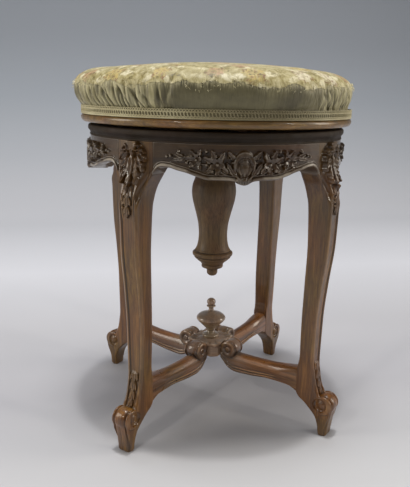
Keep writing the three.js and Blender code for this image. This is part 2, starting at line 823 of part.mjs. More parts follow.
// The base
for (const [place, angle] of legPlaces) {
  add(`leg_${place}`, legGeometry(), walnutBrown(), angle);
  add(`stretcher_arm_${place}`, armGeometry(), walnutBrown(), angle);
  add(`leg_dowel_${place}`, legDowelBar(dowelRadius, 0), beechPlain(), angle);
  add(`boss_dowel_${place}`, bossDowelBar(armDowelRadius, 0), beechPlain(), angle);
}
for (const [place, angle] of apronPlaces) {
  add(`apron_${place}`, apronGeometry(), walnutDark(), angle);
  add(`top_ring_${place}`, ringQuarter(), walnutDark(), angle);
  add(`apron_dowel_${place}_a`, apronDowel(1, dowelRadius, dowelLength), beechPlain(), angle - eighth);
  add(`apron_dowel_${place}_b`, apronDowel(-1, dowelRadius, dowelLength), beechPlain(), angle + eighth);
}
add('boss', bossGeometry(), walnutBrown(), eighth);
add('urn_finial', urnGeometry(), walnutDark());
add('cross_rail_upper', railGeometry(true), beechPlain(), eighth);
add('cross_rail_lower', railGeometry(false), beechPlain(), -eighth);
add('screw_nut', nutGeometry(), ironBlack());
for (let i = 0; i < 4; i += 1) {
  const screw = woodScrew(nutScrewLength, nutTop, true).translate(nutScrewCircle, 0, 0);
  add(`nut_screw_${i + 1}`, screw, steelBare(), i * quarter + eighth);
}
add('pendant', pendantGeometry(), walnutBrown());
add('pendant_drop', dropGeometry(), walnutDark());

// The seat, and the washer that stops its screw
add('screw_spindle', spindleGeometry(), steelBare());
add('seat_flange', seatFlangeGeometry(), ironBlack());
add('flange_pin', barAlong(pinRadius, -seatHubRadius, seatHubRadius, pinHeight, smallSides), steelBare());
for (let i = 0; i < 4; i += 1) {
  const screw = woodScrew(seatScrewLength, flangeBottom, false).translate(seatScrewCircle, 0, 0);
  add(`seat_screw_${i + 1}`, screw, steelBare(), i * quarter);
}
add('stop_washer', washerGeometry(), steelBare());
add('washer_screw', keeperGeometry(), steelBare());
add('seat_board', seatBoardGeometry(), walnutBrown());
add('tacking_board', upright(tackingRadius, tackingBottom, tackingTop, stuffingSides), beechPlain());
add('seat_stuffing', stuffingGeometry(), stuffingHair());
add('seat_cover', coverGeometry(), silkStraw());
add('gimp_braid', gimpGeometry(), braidOlive());

export default stool;
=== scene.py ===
# The looks of a revolving piano stool in carved walnut and silk, round its CAD frame.
# Sizes are in millimetres until a mesh is made, which is in metres, +Z up.
import math
from functools import partial

import bpy
import numpy as np
from mathutils import Matrix, Vector


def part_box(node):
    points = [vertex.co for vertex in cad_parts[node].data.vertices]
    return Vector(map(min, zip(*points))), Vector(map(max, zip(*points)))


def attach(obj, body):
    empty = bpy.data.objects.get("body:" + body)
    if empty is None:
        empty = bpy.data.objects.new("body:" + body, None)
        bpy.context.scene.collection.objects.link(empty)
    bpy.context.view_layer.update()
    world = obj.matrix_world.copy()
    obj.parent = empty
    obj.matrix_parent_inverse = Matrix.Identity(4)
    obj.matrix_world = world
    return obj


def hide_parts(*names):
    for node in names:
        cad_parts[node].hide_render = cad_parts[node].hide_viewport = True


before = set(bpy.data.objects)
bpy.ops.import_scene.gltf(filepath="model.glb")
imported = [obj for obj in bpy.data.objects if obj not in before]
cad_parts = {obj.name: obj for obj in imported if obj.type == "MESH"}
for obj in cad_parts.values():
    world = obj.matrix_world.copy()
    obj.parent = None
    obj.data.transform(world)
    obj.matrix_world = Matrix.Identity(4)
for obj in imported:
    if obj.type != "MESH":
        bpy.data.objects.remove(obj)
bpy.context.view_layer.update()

MM = 0.001
TURN = 2 * math.pi
QUARTER = TURN / 4
EIGHTH = TURN / 8
SIDES = (-1, 1)
# The gap between pieces that touch
SEAM = 0.3
# Curved grain is measured along an angle at this radius, and each copy of a piece is shifted
# this far along and across the wood, in metres
GRAIN_RADIUS, BOARD_SHIFT = 0.17, 0.37
# How often the wear is smoothed over its neighbours, and how strongly a bend counts
WEAR_ROUNDS, WEAR_SCALE = 4, 0.0016

# Legs stand on the diagonals and aprons between them, each at its angle from +X
LEG_PLACES = {"front_left": -3 * EIGHTH, "front_right": -EIGHTH,
              "back_right": EIGHTH, "back_left": 3 * EIGHTH}
APRON_PLACES = {"front": -QUARTER, "right": 0, "back": QUARTER, "left": 2 * QUARTER}


def reach_of(node):
    """A CAD node's foot and top, and how far it reaches along X."""
    low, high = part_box(node)
    return low.z / MM, high.z / MM, high.x / MM


# Levels and radii that the frame gives
RING_FOOT, RING_TOP, RING_RADIUS = reach_of("top_ring_right")
SEAT_FOOT, BOARD_TOP, BOARD_RADIUS = reach_of("seat_board")
BRAID_FOOT, BRAID_TOP, BRAID_RADIUS = reach_of("gimp_braid")
PENDANT_FOOT, PENDANT_TOP, _ = reach_of("pendant")
BOSS_FOOT, BOSS_TOP, _ = reach_of("boss")
LEG_TOP = RING_FOOT - SEAM
NUT_FOOT = reach_of("screw_nut")[0] - SEAM
BORE_FOOT = reach_of("washer_screw")[0] - 1
DROP_FOOT = reach_of("pendant_drop")[0]
URN_TOP = reach_of("urn_finial")[1]

# The legs and aprons are drawn 401 mm tall, and stretched to meet the ring
LEG_TOP_DRAWN = 401
STRETCH = [1, 1, LEG_TOP / LEG_TOP_DRAWN]
# Half the width of the block at a leg's head, the radii of the aprons' faces, and half the
# angle that an apron spans
BLOCK_HALF = 27
APRON_OUTER = 174
APRON_INNER = 150
HALF_SPAN = EIGHTH - math.asin((BLOCK_HALF + SEAM) / APRON_OUTER)


# Curves

def flowing(stations, places):
    """The stations' columns after the first, at places in the first, on a curve that never
    swings past a station."""
    table = np.asarray(stations, float)
    xs, ys = table[:, 0], table[:, 1:]
    step = np.diff(xs)[:, None]
    slope = np.diff(ys, axis=0) / step
    tangent = np.zeros_like(ys)
    tangent[0], tangent[-1] = slope[0], slope[-1]
    before, after = slope[:-1], slope[1:]
    same = before * after > 0
    weight_a, weight_b = 2 * step[1:] + step[:-1], step[1:] + 2 * step[:-1]
    safe_before = np.where(same, before, 1)
    safe_after = np.where(same, after, 1)
    mean = (weight_a + weight_b) / (weight_a / safe_before + weight_b / safe_after)
    tangent[1:-1] = np.where(same, mean, 0)
    places = np.asarray(places, float)
    i = np.clip(np.searchsorted(xs, places, side="right") - 1, 0, len(xs) - 2)
    t = ((places - xs[i]) / step[i, 0])[:, None]
    h = step[i]
    return ((1 + 2 * t) * (1 - t) ** 2 * ys[i] + t * (1 - t) ** 2 * h * tangent[i]
            + t * t * (3 - 2 * t) * ys[i + 1] + t * t * (t - 1) * h * tangent[i + 1])


def ease(low, high, x):
    """0 below low, 1 above high, and a smooth step between."""
    t = np.clip((x - low) / (high - low), 0, 1)
    return t * t * (3 - 2 * t)


def dome(share):
    """A round rise over shares from -1 to 1."""
    return np.sqrt(np.clip(1 - share ** 2, 0, 1))


def bump(x, width):
    """A soft bump round zero."""
    return np.exp(-(x / width) ** 2)


def wrapped(angle):
    """An angle brought to half a turn either way."""
    return (angle + math.pi) % TURN - math.pi


# Modelling

def alone(piece):
    bpy.ops.object.select_all(action="DESELECT")
    piece.select_set(True)
    bpy.context.view_layer.objects.active = piece


def fresh(name):
    """Names the primitive that was just added."""
    piece = bpy.context.active_object
    piece.name = piece.data.name = name
    return piece


def linked(name, data):
    """An object for a mesh, a lamp or a camera."""
    made = bpy.data.objects.new(name, data)
    bpy.context.collection.objects.link(made)
    return made


def meshed(name, points, faces):
    """A piece from its points, in metres, and its faces."""
    mesh = bpy.data.meshes.new(name)
    mesh.from_pydata(points.tolist(), [], faces)
    mesh.update()
    return linked(name, mesh)


def edit(piece):
    alone(piece)
    bpy.ops.object.mode_set(mode="EDIT")
    bpy.ops.mesh.select_all(action="SELECT")


def done():
    bpy.ops.object.mode_set(mode="OBJECT")


def faced(piece, holes=False):
    """Turns every face outwards, and may close the holes first."""
    edit(piece)
    if holes:
        bpy.ops.mesh.fill_holes(sides=0)
        bpy.ops.mesh.select_all(action="SELECT")
    bpy.ops.mesh.normals_make_consistent(inside=False)
    done()
    return piece


def modify(piece, kind, **settings):
    alone(piece)
    modifier = piece.modifiers.new(kind.title(), kind)
    for key, value in settings.items():
        setattr(modifier, key, value)
    bpy.ops.object.modifier_apply(modifier=modifier.name)


def soft_shade(piece, degrees):
    alone(piece)
    bpy.ops.object.shade_smooth_by_angle(angle=math.radians(degrees))


def outline_piece(name, outline):
    """An outline drawn from one point, extruded point by point in the XZ plane."""
    bpy.ops.object.select_all(action="DESELECT")
    bpy.ops.mesh.primitive_plane_add(size=MM)
    piece = fresh(name)
    edit(piece)
    bpy.ops.mesh.merge(type="CENTER")
    bpy.ops.transform.translate(value=(outline[0][0] * MM, 0, outline[0][1] * MM))
    for (x0, z0), (x1, z1) in zip(outline, outline[1:]):
        step = ((x1 - x0) * MM, 0, (z1 - z0) * MM)
        bpy.ops.mesh.extrude_region_move(TRANSFORM_OT_translate={"value": step})
    done()
    return piece


def turned(name, outline, sides, sweep=TURN):
    """A lathe piece about the Z axis, welded, or a part of one about the X axis."""
    piece = outline_piece(name, outline)
    edit(piece)
    if sweep < TURN:
        bpy.ops.transform.rotate(value=sweep / 2, orient_axis="Z", center_override=(0, 0, 0))
    bpy.ops.mesh.spin(steps=sides, angle=sweep, center=(0, 0, 0), axis=(0, 0, 1))
    bpy.ops.mesh.select_all(action="SELECT")
    bpy.ops.mesh.remove_doubles(threshold=0.01 * MM)
    done()
    return faced(piece, sweep < TURN)


def skin(name, rings, closed_ends=True):
    """A carved or sewn surface that operators can't shape: rings of points, joined in rows."""
    rings = np.asarray(rings, float)
    rows, count = rings.shape[:2]
    start = np.arange(rows - 1)[:, None] * count
    a = start + np.arange(count)
    b = start + (np.arange(count) + 1) % count
    faces = np.stack([a, b, b + count, a + count], -1).reshape(-1, 4).tolist()
    if closed_ends:
        faces.append(list(range(count))[::-1])
        faces.append(list(range((rows - 1) * count, rows * count)))
    return faced(meshed(name, rings.reshape(-1, 3) * MM, faces))


def values_of(data, key, width=1, kind=np.float32):
    """One property of all points or edges as an array, with a row for each."""
    values = np.empty(len(data) * width, kind)
    data.foreach_get(key, values)
    return values.reshape(-1, width) if width > 1 else values


def points_of(piece):
    return values_of(piece.data.vertices, "co", 3, float)


def store(piece, **attributes):
    """Keeps values or vectors at the points of a mesh, for its material."""
    for name, values in attributes.items():
        kind, key = ("FLOAT", "value") if values.ndim == 1 else ("FLOAT_VECTOR", "vector")
        attribute = piece.data.attributes.new(name, kind, "POINT")
        attribute.data.foreach_set(key, np.ascontiguousarray(values, np.float32).ravel())


def turn_mesh(piece, angle, axis="Z", shift=(0, 0, 0)):
    piece.data.transform(Matrix.Translation(Vector(shift) * MM) @ Matrix.Rotation(angle, 4, axis))
    piece.data.update()


def joined(name, pieces):
    """Several bodies made one piece."""
    alone(pieces[0])
    for piece in pieces:
        piece.select_set(True)
    bpy.ops.object.join()
    return fresh(name)


def combined(piece, tool, operation):
    """Adds a tool's shape to a piece, or cuts it away, with no wall left inside."""
    modify(piece, "BOOLEAN", operation=operation, solver="EXACT", object=tool)
    bpy.data.objects.remove(tool)


def grained(piece, order):
    """Stores where each point is in the board it was cut from. The grain runs along the first
    of the three axes in order, or, with no order, round the ring that the piece belongs to."""
    places = points_of(piece)
    if order:
        places = places[:, ["xyz".index(axis) for axis in order]]
    else:
        x, y, z = places.T
        places = np.column_stack([np.arctan2(y, x) * GRAIN_RADIUS, np.hypot(x, y), z])
    store(piece, grain=places)


def weathered(piece):
    """Stores how far each point stands out of its surroundings: 1 on an edge, 0 in a recess."""
    mesh = piece.data
    places = points_of(piece)
    normals = values_of(mesh.vertices, "normal", 3, float)
    a, b = values_of(mesh.edges, "vertices", 2, int).T
    count = np.bincount(np.r_[a, b], minlength=len(places)).clip(1)
    offset = places[b] - places[a]
    square = (offset ** 2).sum(1).clip(1e-12)
    bend = np.zeros(len(places))
    np.add.at(bend, a, -(offset * normals[a]).sum(1) / square)
    np.add.at(bend, b, (offset * normals[b]).sum(1) / square)
    bend /= count
    for _ in range(WEAR_ROUNDS):
        around = np.bincount(a, bend[b], len(places)) + np.bincount(b, bend[a], len(places))
        bend = 0.5 * bend + 0.5 * around / count
    store(piece, wear=np.clip(0.5 + bend * WEAR_SCALE, 0, 1))


def finished(piece, degrees, order=""):
    """Shades a wooden piece and stores its grain and its wear."""
    soft_shade(piece, degrees)
    grained(piece, order)
    weathered(piece)
    return piece


def reworn(piece, change):
    """Changes the wear that a piece has, into whose values painted highlights can also be
    written.
    """
    wear = piece.data.attributes["wear"].data
    wear.foreach_set("value", change(values_of(wear, "value")).astype(np.float32))


def plain_wear(piece, where, kept=0.0):
    """Takes wear off some points: seams that don't show, and what a Boolean leaves uneven."""
    def change(values):
        values[where] = 0.5 + kept * (values[where] - 0.5)
        return values
    reworn(piece, change)


def copies(piece, places, pattern):
    """One piece turned into each of its places. Each has its own mesh and its own bit of wood."""
    made = {}
    for i, (place, angle) in enumerate(places.items()):
        mesh = piece.data.copy()
        mesh.name = pattern.format(place)
        mesh.transform(Matrix.Rotation(angle, 4, "Z"))
        grain = mesh.attributes["grain"].data
        shifted = values_of(grain, "vector", 3) + np.float32(BOARD_SHIFT * (i + 1))
        grain.foreach_set("vector", shifted.ravel())
        made[place] = linked(mesh.name, mesh)
    bpy.data.objects.remove(piece)
    return made


# Carving. Each cut gives how high it stands at each place of a flat field, in millimetres.

def highest(*cuts):
    """The highest of several cuts at each place, or the ground."""
    return np.maximum.reduce([np.zeros_like(cuts[0]), *cuts])


def leaf(across, up, root, tip, width, rise, edge=0.16, vein=0.9, lobes=0, curl=0.0, tilt=0.0):
    """A leaf from its root to its tip, with a vein, ribs beside it, and lobes along its edges
    if it has any. It may tilt to one side and curl up at its tip."""
    root, tip = np.asarray(root, float), np.asarray(tip, float)
    length = np.hypot(*(tip - root))
    way = (tip - root) / length
    along = ((across - root[0]) * way[0] + (up - root[1]) * way[1]) / length
    aside = (across - root[0]) * -way[1] + (up - root[1]) * way[0]
    share = np.clip(along, 0, 1)
    half = width / 2 * np.sin(np.pi * share ** 0.75) ** 0.7
    if lobes:
        half = half * (1 - 0.28 * np.abs(np.cos(np.pi * lobes * share)) ** 3)
    reach = np.abs(aside) / np.maximum(half, 0.01)
    body = dome(reach) * 0.35 + 0.65
    body = body * ease(0, edge, 1 - reach) * (along > 0) * (along < 1)
    body = body * (1 + tilt * aside / (width / 2)) * (1 + curl * share ** 2)
    groove = vein * bump(aside, 0.75) * ease(0, 0.15, along) * ease(0, 0.2, 1 - along)
    ribs = 0.3 * vein * np.cos(np.clip(reach, 0, 1) * 11) * (width > 7)
    return body * rise + (ribs - groove) * (body > 0.3)


def bud(across, up, centre, radius, rise):
    """A round berry."""
    return rise * dome(np.hypot(across - centre[0], up - centre[1]) / radius)


def blossom(across, up, centre, radius, rise, turn):
    """A flower seen from the front: five petals that cup round a button, with raised rims."""
    dx, dz = across - centre[0], up - centre[1]
    far = np.hypot(dx, dz) / radius
    wave = np.abs(np.cos(5 * (np.arctan2(dz, dx) + turn) / 2))
    limit = 0.6 + 0.4 * wave ** 0.5
    cup = np.clip(far / limit, 0, 1)
    body = rise * (0.3 + 0.7 * cup ** 1.5) * ease(0, 0.16, 1 - far / limit)
    body = body * (0.55 + 0.45 * wave ** 0.4)
    return np.maximum(body, bud(across, up, centre, radius * 0.28, rise * 0.95))


def stem(across, up, line, width, rise, taper=0.5):
    """A raised rib along a line of points, thinner towards its end."""
    line = np.asarray(line, float)
    lengths = np.hypot(*np.diff(line, axis=0).T)
    total, so_far = lengths.sum(), 0.0
    high = np.zeros_like(across)
    for (x0, z0), (x1, z1), length in zip(line, line[1:], lengths):
        t = np.clip(((across - x0) * (x1 - x0) + (up - z0) * (z1 - z0)) / length ** 2, 0, 1)
        far = np.hypot(across - x0 - t * (x1 - x0), up - z0 - t * (z1 - z0))
        half = width / 2 * (1 - taper * (so_far + t * length) / total)
        high = np.maximum(high, rise * dome(far / half))
        so_far += length
    return high


def spiral(centre, radius, start, turns):
    """The points of a scroll that winds in round its centre."""
    t = np.linspace(0, 1, 26)
    reach = radius * (1 - 0.8 * t)
    angle = start + turns * TURN * t
    return np.column_stack([centre[0] + reach * np.cos(angle), centre[1] + reach * np.sin(angle)])


# Legs

LEG_STATIONS = np.array([
    # height, inner radius, depth, half width
    [0, 188, 11, 9.9], [12, 186.6, 13.9, 10.5], [25, 183, 19.4, 11.5], [32, 178.6, 25.4, 12.4],
    [36, 174.6, 30, 12.6], [41, 169.2, 36.2, 12.7], [46, 163, 39.2, 12.7], [51.3, 157, 34, 12.6],
    [56, 153.8, 34.4, 12.4], [60, 153, 33.1, 12.2], [75, 153, 28.1, 12], [92, 153, 25, 12.1],
    [110, 155.4, 21.1, 13], [160, 155.4, 21.6, 14.1], [212, 156.3, 24.7, 14],
    [261, 157.4, 29.3, 14], [291, 156.5, 31.4, 14.2], [321, 155.1, 33.1, 15],
    [335, 152.5, 35, 16.2], [345, 150.5, 36.3, 18.4], [353, 149, 37.2, 21.8],
    [359, 148.2, 37.7, 25.2], [363, 148, 37.8, 27], [369, 148, 37, 27], [385, 148, 36, 27],
    [401, 148, 36, 27]])
# Root, tip, width and rise of the leaves beside the knee's middle one
KNEE_LEAVES = (((7, 394), (19, 387), 9, 4.4), ((7.5, 391), (20, 377), 10, 5.2),
               ((6.5, 389), (17, 365), 11, 6.0), ((4, 387), (11, 350), 11, 6.2))
# Head and tip of each husk: below the knee, and above the foot
KNEE_HUSKS = ((348, 331), (335, 321), (324, 309))
FOOT_HUSKS = ((106, 88), (92, 75), (79, 63), (67, 54))
# The axis of the foot's scroll: how far out it lies, and how high
SCROLL_OUT, SCROLL_UP = 194, 46
SCROLL_HALF = [(0, -13), (11.2, -13), (12.6, -12.6), (13.2, -11.6), (12.9, -10.4), (11.6, -9.5),
               (11.3, -9), (11.9, -8.4), (13.2, -7.6), (14, -5), (14.2, -2), (14.1, 0)]
SCROLL_DISH = [(0, 12.8), (2.6, 12.6), (4.4, 12), (5.4, 11.2), (6.3, 10.6), (7.4, 10.4),
               (8.6, 10.8), (9.6, 11.8), (10.3, 12.9), (11, 16), (0, 16)]


def knee_leaf(y, z):
    """The acanthus on the knee: curls at its head, then ruffled lobes that fall to a point."""
    w = np.abs(y)
    high = highest(leaf(y, z, (0, 392), (0, 340), 12, 7.4, 0.3, 1.6, 5, 0.08),
                   *(leaf(side * y, z, *place, 0.3, 1.5, 4, 0.3, 0.2)
                     for side in SIDES for place in KNEE_LEAVES))
    high = high + 0.55 * (np.sin(1.25 * z + 1.1 * w) * ease(5, 12, w) * ease(1, 4, high))
    crown = 6.8 * ease(0, 4, z - 387) * ease(0, 3, 16.5 - w - 0.5 * (z - 387))
    high = np.maximum(high, crown)
    for side in SIDES:
        curl = stem(side * y, z, spiral((9, 393), 6, -0.4 * math.pi, 1.15), 3.6, 2.4, 0.3)
        hole = 9 * np.exp(-(((side * y - 4.6) / 2.3) ** 2 + ((z - 385) / 2.6) ** 2))
        high = high + curl * (z < LEG_TOP_DRAWN) - hole
        high = high - 5 * np.exp(-(((side * y - 9) / 1.5) ** 2 + ((z - 393) / 1.5) ** 2))
    return np.clip(high, 0, 9.5)


def husks(y, z, chain, width):
    """Bell husks that hang in a row, each with three tips."""
    cuts = []
    for i, (head, tail) in enumerate(chain):
        wide = width * (1 - 0.16 * i)
        cuts += [leaf(side * y, z, (0.3, head), (wide * 0.46, tail + 4.5), wide * 0.55, 2.9,
                      0.3, 0.4) for side in SIDES]
        cuts += [leaf(y, z, (0, head), (0, tail), wide * 0.62, 3.4, 0.3, 0.7),
                 bud(y, z, (0, head), 1.9, 3.0)]
    return highest(*cuts)


def leg_face(y, z, half, outer):
    """How far the leg's outer face stands out of its plain section, in millimetres. At the knee
    its ground is level with the aprons."""
    w = np.abs(y)
    edge = half - w
    shank = ease(96, 108, z) * ease(0, 14, 318 - z)
    ground = -1.9 * shank * ease(4.2, 6.2, edge)
    beads = 0.9 * bump(edge - 2.2, 1.5) - 1.1 * bump(edge - 4.9, 0.9)
    beads = beads * ease(56, 70, z) * ease(0, 8, 370 - z)
    flank = -11 * ease(300, 366, z) * ease(0, 1, (w - 11) / np.maximum(half - 14, 3))
    level = ease(334, 378, z)
    flush = np.sqrt(APRON_OUTER ** 2 - y ** 2) - outer
    upper = flank * (1 - level) + flush * level + beads * (1 - level * 0.2)
    upper = upper + knee_leaf(y, z) * ease(336, 352, z)
    high = np.where(z > 334, upper, ground + beads + flank)
    high = high - 1.2 * (ease(306, 314, z) * ease(0, 8, 352 - z) * ease(0, 2.5, 9 - w))
    chain = husks(y, z, KNEE_HUSKS, 15)
    berries = sum(bud(y, z, (-7.2 + 0.3 * i, 337 - 5 * i), 1.9, 2.8) for i in range(4))
    high = high + (chain + berries * (np.abs(chain) < 0.2)) * ease(306, 310, z) * (z < 350)
    low_sunk = ease(50, 56, z) * ease(0, 6, 106 - z) * ease(0, 2, 8 - w)
    high = high + (husks(y, z, FOOT_HUSKS, 13) * 0.95 - 1.9) * low_sunk
    swell = 0.9 * dome(y / 8.4) - 0.5 * bump(y, 0.9)
    return high + (swell - 2.6 * bump(w - 9, 0.85)) * ease(0, 10, 56 - z)


def leg_ring(z, inner, depth, half, columns=71):
    """One level of the leg: its inner face, a side, the outer face, and the other side."""
    corner = 4 - 3.3 * float(ease(310, 360, z)) - 2.6 * float(ease(0, 12, 66 - z))
    corner = min(corner, half / 2)
    outer = inner + depth
    y = np.linspace(half - corner, corner - half, columns)
    face = outer + leg_face(y, np.full(columns, z), half, outer)
    tuck = 1.1 * float(ease(0, 2.5, 2.5 - z))
    face, half = face - tuck, half - tuck * 0.8
    quarter = np.linspace(0, QUARTER, 5)
    edge_x = face[0]
    soft = 3 - 2.7 * float(ease(44, 50, z) * (1 - ease(90, 98, z)))
    points = [(inner, 0.0), (inner, (half - 3) * 0.6)]
    points += [(inner + soft - soft * math.cos(a), half - soft + soft * math.sin(a))
               for a in quarter]
    points += [(x, half) for x in np.linspace(inner + soft, edge_x - corner, 9)[1:-1]]
    points += [(edge_x - corner + corner * math.sin(a), half - corner + corner * math.cos(a))
               for a in quarter[:-1]]
    points += list(zip(face[:(columns + 1) // 2], y[:(columns + 1) // 2]))
    other = [(x, -w) for x, w in points[1:]][::-1]
    other[:columns // 2 + 1] = list(zip(face[columns // 2:], y[columns // 2:]))
    return [(x, w, z) for x, w in points + other[1:]]


def mirrored(half):
    """An outline of (radius, height) points with its other half."""
    return half + [(r, -y) for r, y in half[-2::-1]]


def make_legs():
    levels = np.concatenate([[0, 0.8, 1.7, 2.6], np.arange(5, 40, 2.5), np.arange(40, 108, 1.1),
                             np.arange(108, 304, 5.0), np.arange(304, LEG_TOP_DRAWN, 0.8),
                             [LEG_TOP_DRAWN]])
    shapes = flowing(LEG_STATIONS, levels)
    rings = [leg_ring(z, *shape) for z, shape in zip(levels, shapes)]
    leg = skin("leg", np.array(rings) * STRETCH)
    scroll = turned("foot_scroll", mirrored(SCROLL_HALF), 56)
    turn_mesh(scroll, QUARTER, "X", (SCROLL_OUT, 0, SCROLL_UP))
    combined(leg, scroll, "UNION")
    for side in SIDES:
        cutter = turned("foot_dish", [(r, side * y) for r, y in SCROLL_DISH], 40)
        turn_mesh(cutter, QUARTER, "X", (SCROLL_OUT, 0, SCROLL_UP))
        hinge = Matrix.Translation(Vector((SCROLL_OUT, side * 12.5, SCROLL_UP)) * MM)
        cutter.data.transform(hinge @ Matrix.Rotation(-0.15 * side, 4, "Z") @ hinge.inverted())
        combined(leg, cutter, "DIFFERENCE")
    finished(leg, 50, "zyx")
    x, y, z = points_of(leg).T / MM
    w, roll = np.abs(y), np.hypot(x - SCROLL_OUT, z - SCROLL_UP)
    joint = ((x < 158) & (z > 44) & (z < 96)) | ((z > 358) & (w > 25))
    plain_wear(leg, joint | ((roll > 13.8) & (roll < 40) & (z < 64) & (w > 8)))
    plain_wear(leg, (z < 112) & (x > 172), 0.5)
    plain_wear(leg, z > 330, 0.75)
    plain_wear(leg, (z > 296) & (z < 364) & (w > 12), 0.3)
    plain_wear(leg, (np.abs(roll - 10.5) < 2.5) & (w > 9) & (x < SCROLL_OUT), 0.2)
    return copies(leg, LEG_PLACES, "carved_leg_{}")


# Aprons

# How deep the apron is, by its share of the way from its middle to its end
APRON_EDGE = [[0, 44], [0.06, 44], [0.1, 42.6], [0.17, 41.6], [0.36, 41.2], [0.5, 37.6],
              [0.62, 33.4], [0.72, 31], [0.8, 28.6], [0.88, 28], [0.93, 29.6], [0.97, 33.4],
              [1, 38]]
# Where highlights are painted on the bead: the middle and half width of each stretch, as shares
BEAD_HIGHLIGHTS = ((-0.78, 0.17), (-0.22, 0.14), (0.38, 0.16), (0.84, 0.12))
VINE = [(7, 362), (15, 363), (24, 368), (32, 374), (42, 377), (54, 379), (66, 384), (84, 385)]
SPRAY = (
    # root, tip, width, rise, lobes: the leaves round the first flower, the second, and the tail
    ((31, 378), (23, 393), 9, 4.6, 2), ((32, 378), (38, 395), 9.5, 4.8, 3),
    ((32, 378), (48, 387), 10, 4.6, 3), ((32, 377), (45, 368), 10, 4.8, 3),
    ((30, 377), (32, 363), 8.5, 4.6, 2), ((29, 378), (18, 368), 9, 4.4, 2),
    ((55, 383), (50, 395), 7.5, 4.2, 2), ((56, 383), (62, 394.5), 8, 4.4, 3),
    ((57, 383), (71, 386), 8.5, 4.2, 3), ((56, 382), (65, 374), 8.5, 4.4, 3),
    ((54, 382), (50, 371), 7.5, 4.2, 2), ((69, 385), (81, 390), 6.5, 3.6, 2),
    ((69, 384), (84, 382), 6.5, 3.8, 2), ((12, 366), (21, 381), 7.5, 4.2, 2),
    ((12, 384), (20, 394), 7.5, 4.0, 2))
# Centre, radius, rise and turn of each flower; centre and radius of each berry
FLOWERS = (((31, 378), 9.6, 5.5, 0.4), ((55.5, 383), 7.4, 5.0, 1.0))
BERRIES = (((43.5, 377.5), 2.6), ((76, 392), 2.0), ((76, 386), 2.2), ((86, 386.5), 2.1),
           ((90.5, 385.5), 1.8), ((66, 379.5), 2.2), ((44, 392.5), 2.2), ((25, 385), 2.2))


def apron_carving(s, z):
    """The carving on an apron, by the way round from its middle: a shell, then scrolls, flowers,
    leaves and berries to both sides."""
    w = np.abs(s)
    high = highest(stem(w, z, VINE, 3.2, 2.2),
                   *(leaf(w, z, root, tip, width, rise, 0.2, 1.3, lobes, 0.35, 0.3 * (-1) ** i)
                     for i, (root, tip, width, rise, lobes) in enumerate(SPRAY)))
    for centre, radius, rise, turn in FLOWERS:
        high = np.where(np.hypot(w - centre[0], z - centre[1]) < radius * 0.8, 1.0, high)
        high = np.maximum(high, blossom(w, z, centre, radius, rise, turn))
    high = highest(high, stem(w, z, spiral((16, 386), 6.0, -0.6 * math.pi, -1.1), 3.0, 3.4),
                   *(bud(w, z, centre, radius, 3.2) for centre, radius in BERRIES))
    ribs = 0.9 * np.cos(np.arctan2(w, z - 358) * 13) + 4.4
    fan = np.hypot(w / 14.5, (z - 376) / 19)
    oval = np.clip(1 - (w / 6.8) ** 2 - ((z - 374) / 9) ** 2, 0, 1)
    high = highest(high, ribs * ease(0, 0.14, 1 - fan), 5.0 * np.sqrt(oval) + 0.5 * (oval > 0))
    ring = np.abs(np.hypot(w / 8.6, (z - 374) / 11) - 1)
    high = np.where(ring < 0.14, np.maximum(high - 1.6, 2.0), high)
    knob = np.clip(1 - (w / 8.4) ** 2 - ((z - 359.5) / 6.2) ** 2, 0, 1)
    knob = 5.5 * np.sqrt(knob) * (1 - 0.18 * np.abs(np.cos(w * 1.1)) ** 4)
    volute = stem(w, z, spiral((11, 362), 4.6, 0.1 * math.pi, 1.2), 3.0, 4.8, 0.3)
    return highest(high, volute, knob)


def apron_section(share, rows=62):
    """One upright section of an apron, at its share of the way from the middle to an end."""
    middle = share * HALF_SPAN * APRON_OUTER
    depth = flowing(APRON_EDGE, [abs(share)])[0, 0] + 2.5 * math.exp(-(middle / 7) ** 2)
    bottom = LEG_TOP_DRAWN - depth
    z = np.linspace(bottom, LEG_TOP_DRAWN, rows)
    s = np.full(rows, middle)
    up = z - bottom
    plain = ease(7.5, 10.5, np.abs(s))
    bead, fillet = 2.4 * dome((up - 2.3) / 2.4), 1.2 * dome((up - 6) / 1.1)
    carving = apron_carving(s, z) * ease(0.4, 2.4, up + 3 * (1 - plain))
    carving = carving * (1 - plain * (1 - ease(5.6, 7.4, up)))
    face = APRON_OUTER + np.maximum(np.maximum(bead, fillet) * plain, carving)
    radius = np.concatenate([face, APRON_INNER + np.array([1, 0, 0, 0, 1.5])])
    height = np.concatenate([z, [z[-1], z[-1] - 1, z[-1] - depth / 2, bottom + 1.5, bottom]])
    span = EIGHTH - np.arcsin((BLOCK_HALF + 0.05) / np.minimum(radius, APRON_OUTER))
    angle = share * span
    return np.column_stack([radius * np.cos(angle), radius * np.sin(angle), height])


def paint_bead_highlights(apron):
    """Paints highlights onto the bead along the apron's lower edge, brightest in some
    stretches, by raising its wear value.
    """
    x, y, z = points_of(apron).T / MM
    share = np.arctan2(y, x) / HALF_SPAN
    edge = flowing(APRON_EDGE, np.clip(np.abs(share), 0, 1))[:, 0]
    up = z * LEG_TOP_DRAWN / LEG_TOP - (LEG_TOP_DRAWN - edge)
    proud = np.hypot(x, y) - APRON_OUTER
    glint = sum(ease(half * 1.3, half * 0.7, np.abs(share - middle))
                for middle, half in BEAD_HIGHLIGHTS)
    bead = ease(2.2, 0.6, np.abs(up - 2.9)) * ease(0.6, 1.4, proud) * (0.12 + 0.88 * glint)
    # painted highlights: the bead is made a little paler all along, and much paler in the listed
    # stretches
    reworn(apron, lambda values: np.maximum(values, 0.5 + 0.5 * bead))


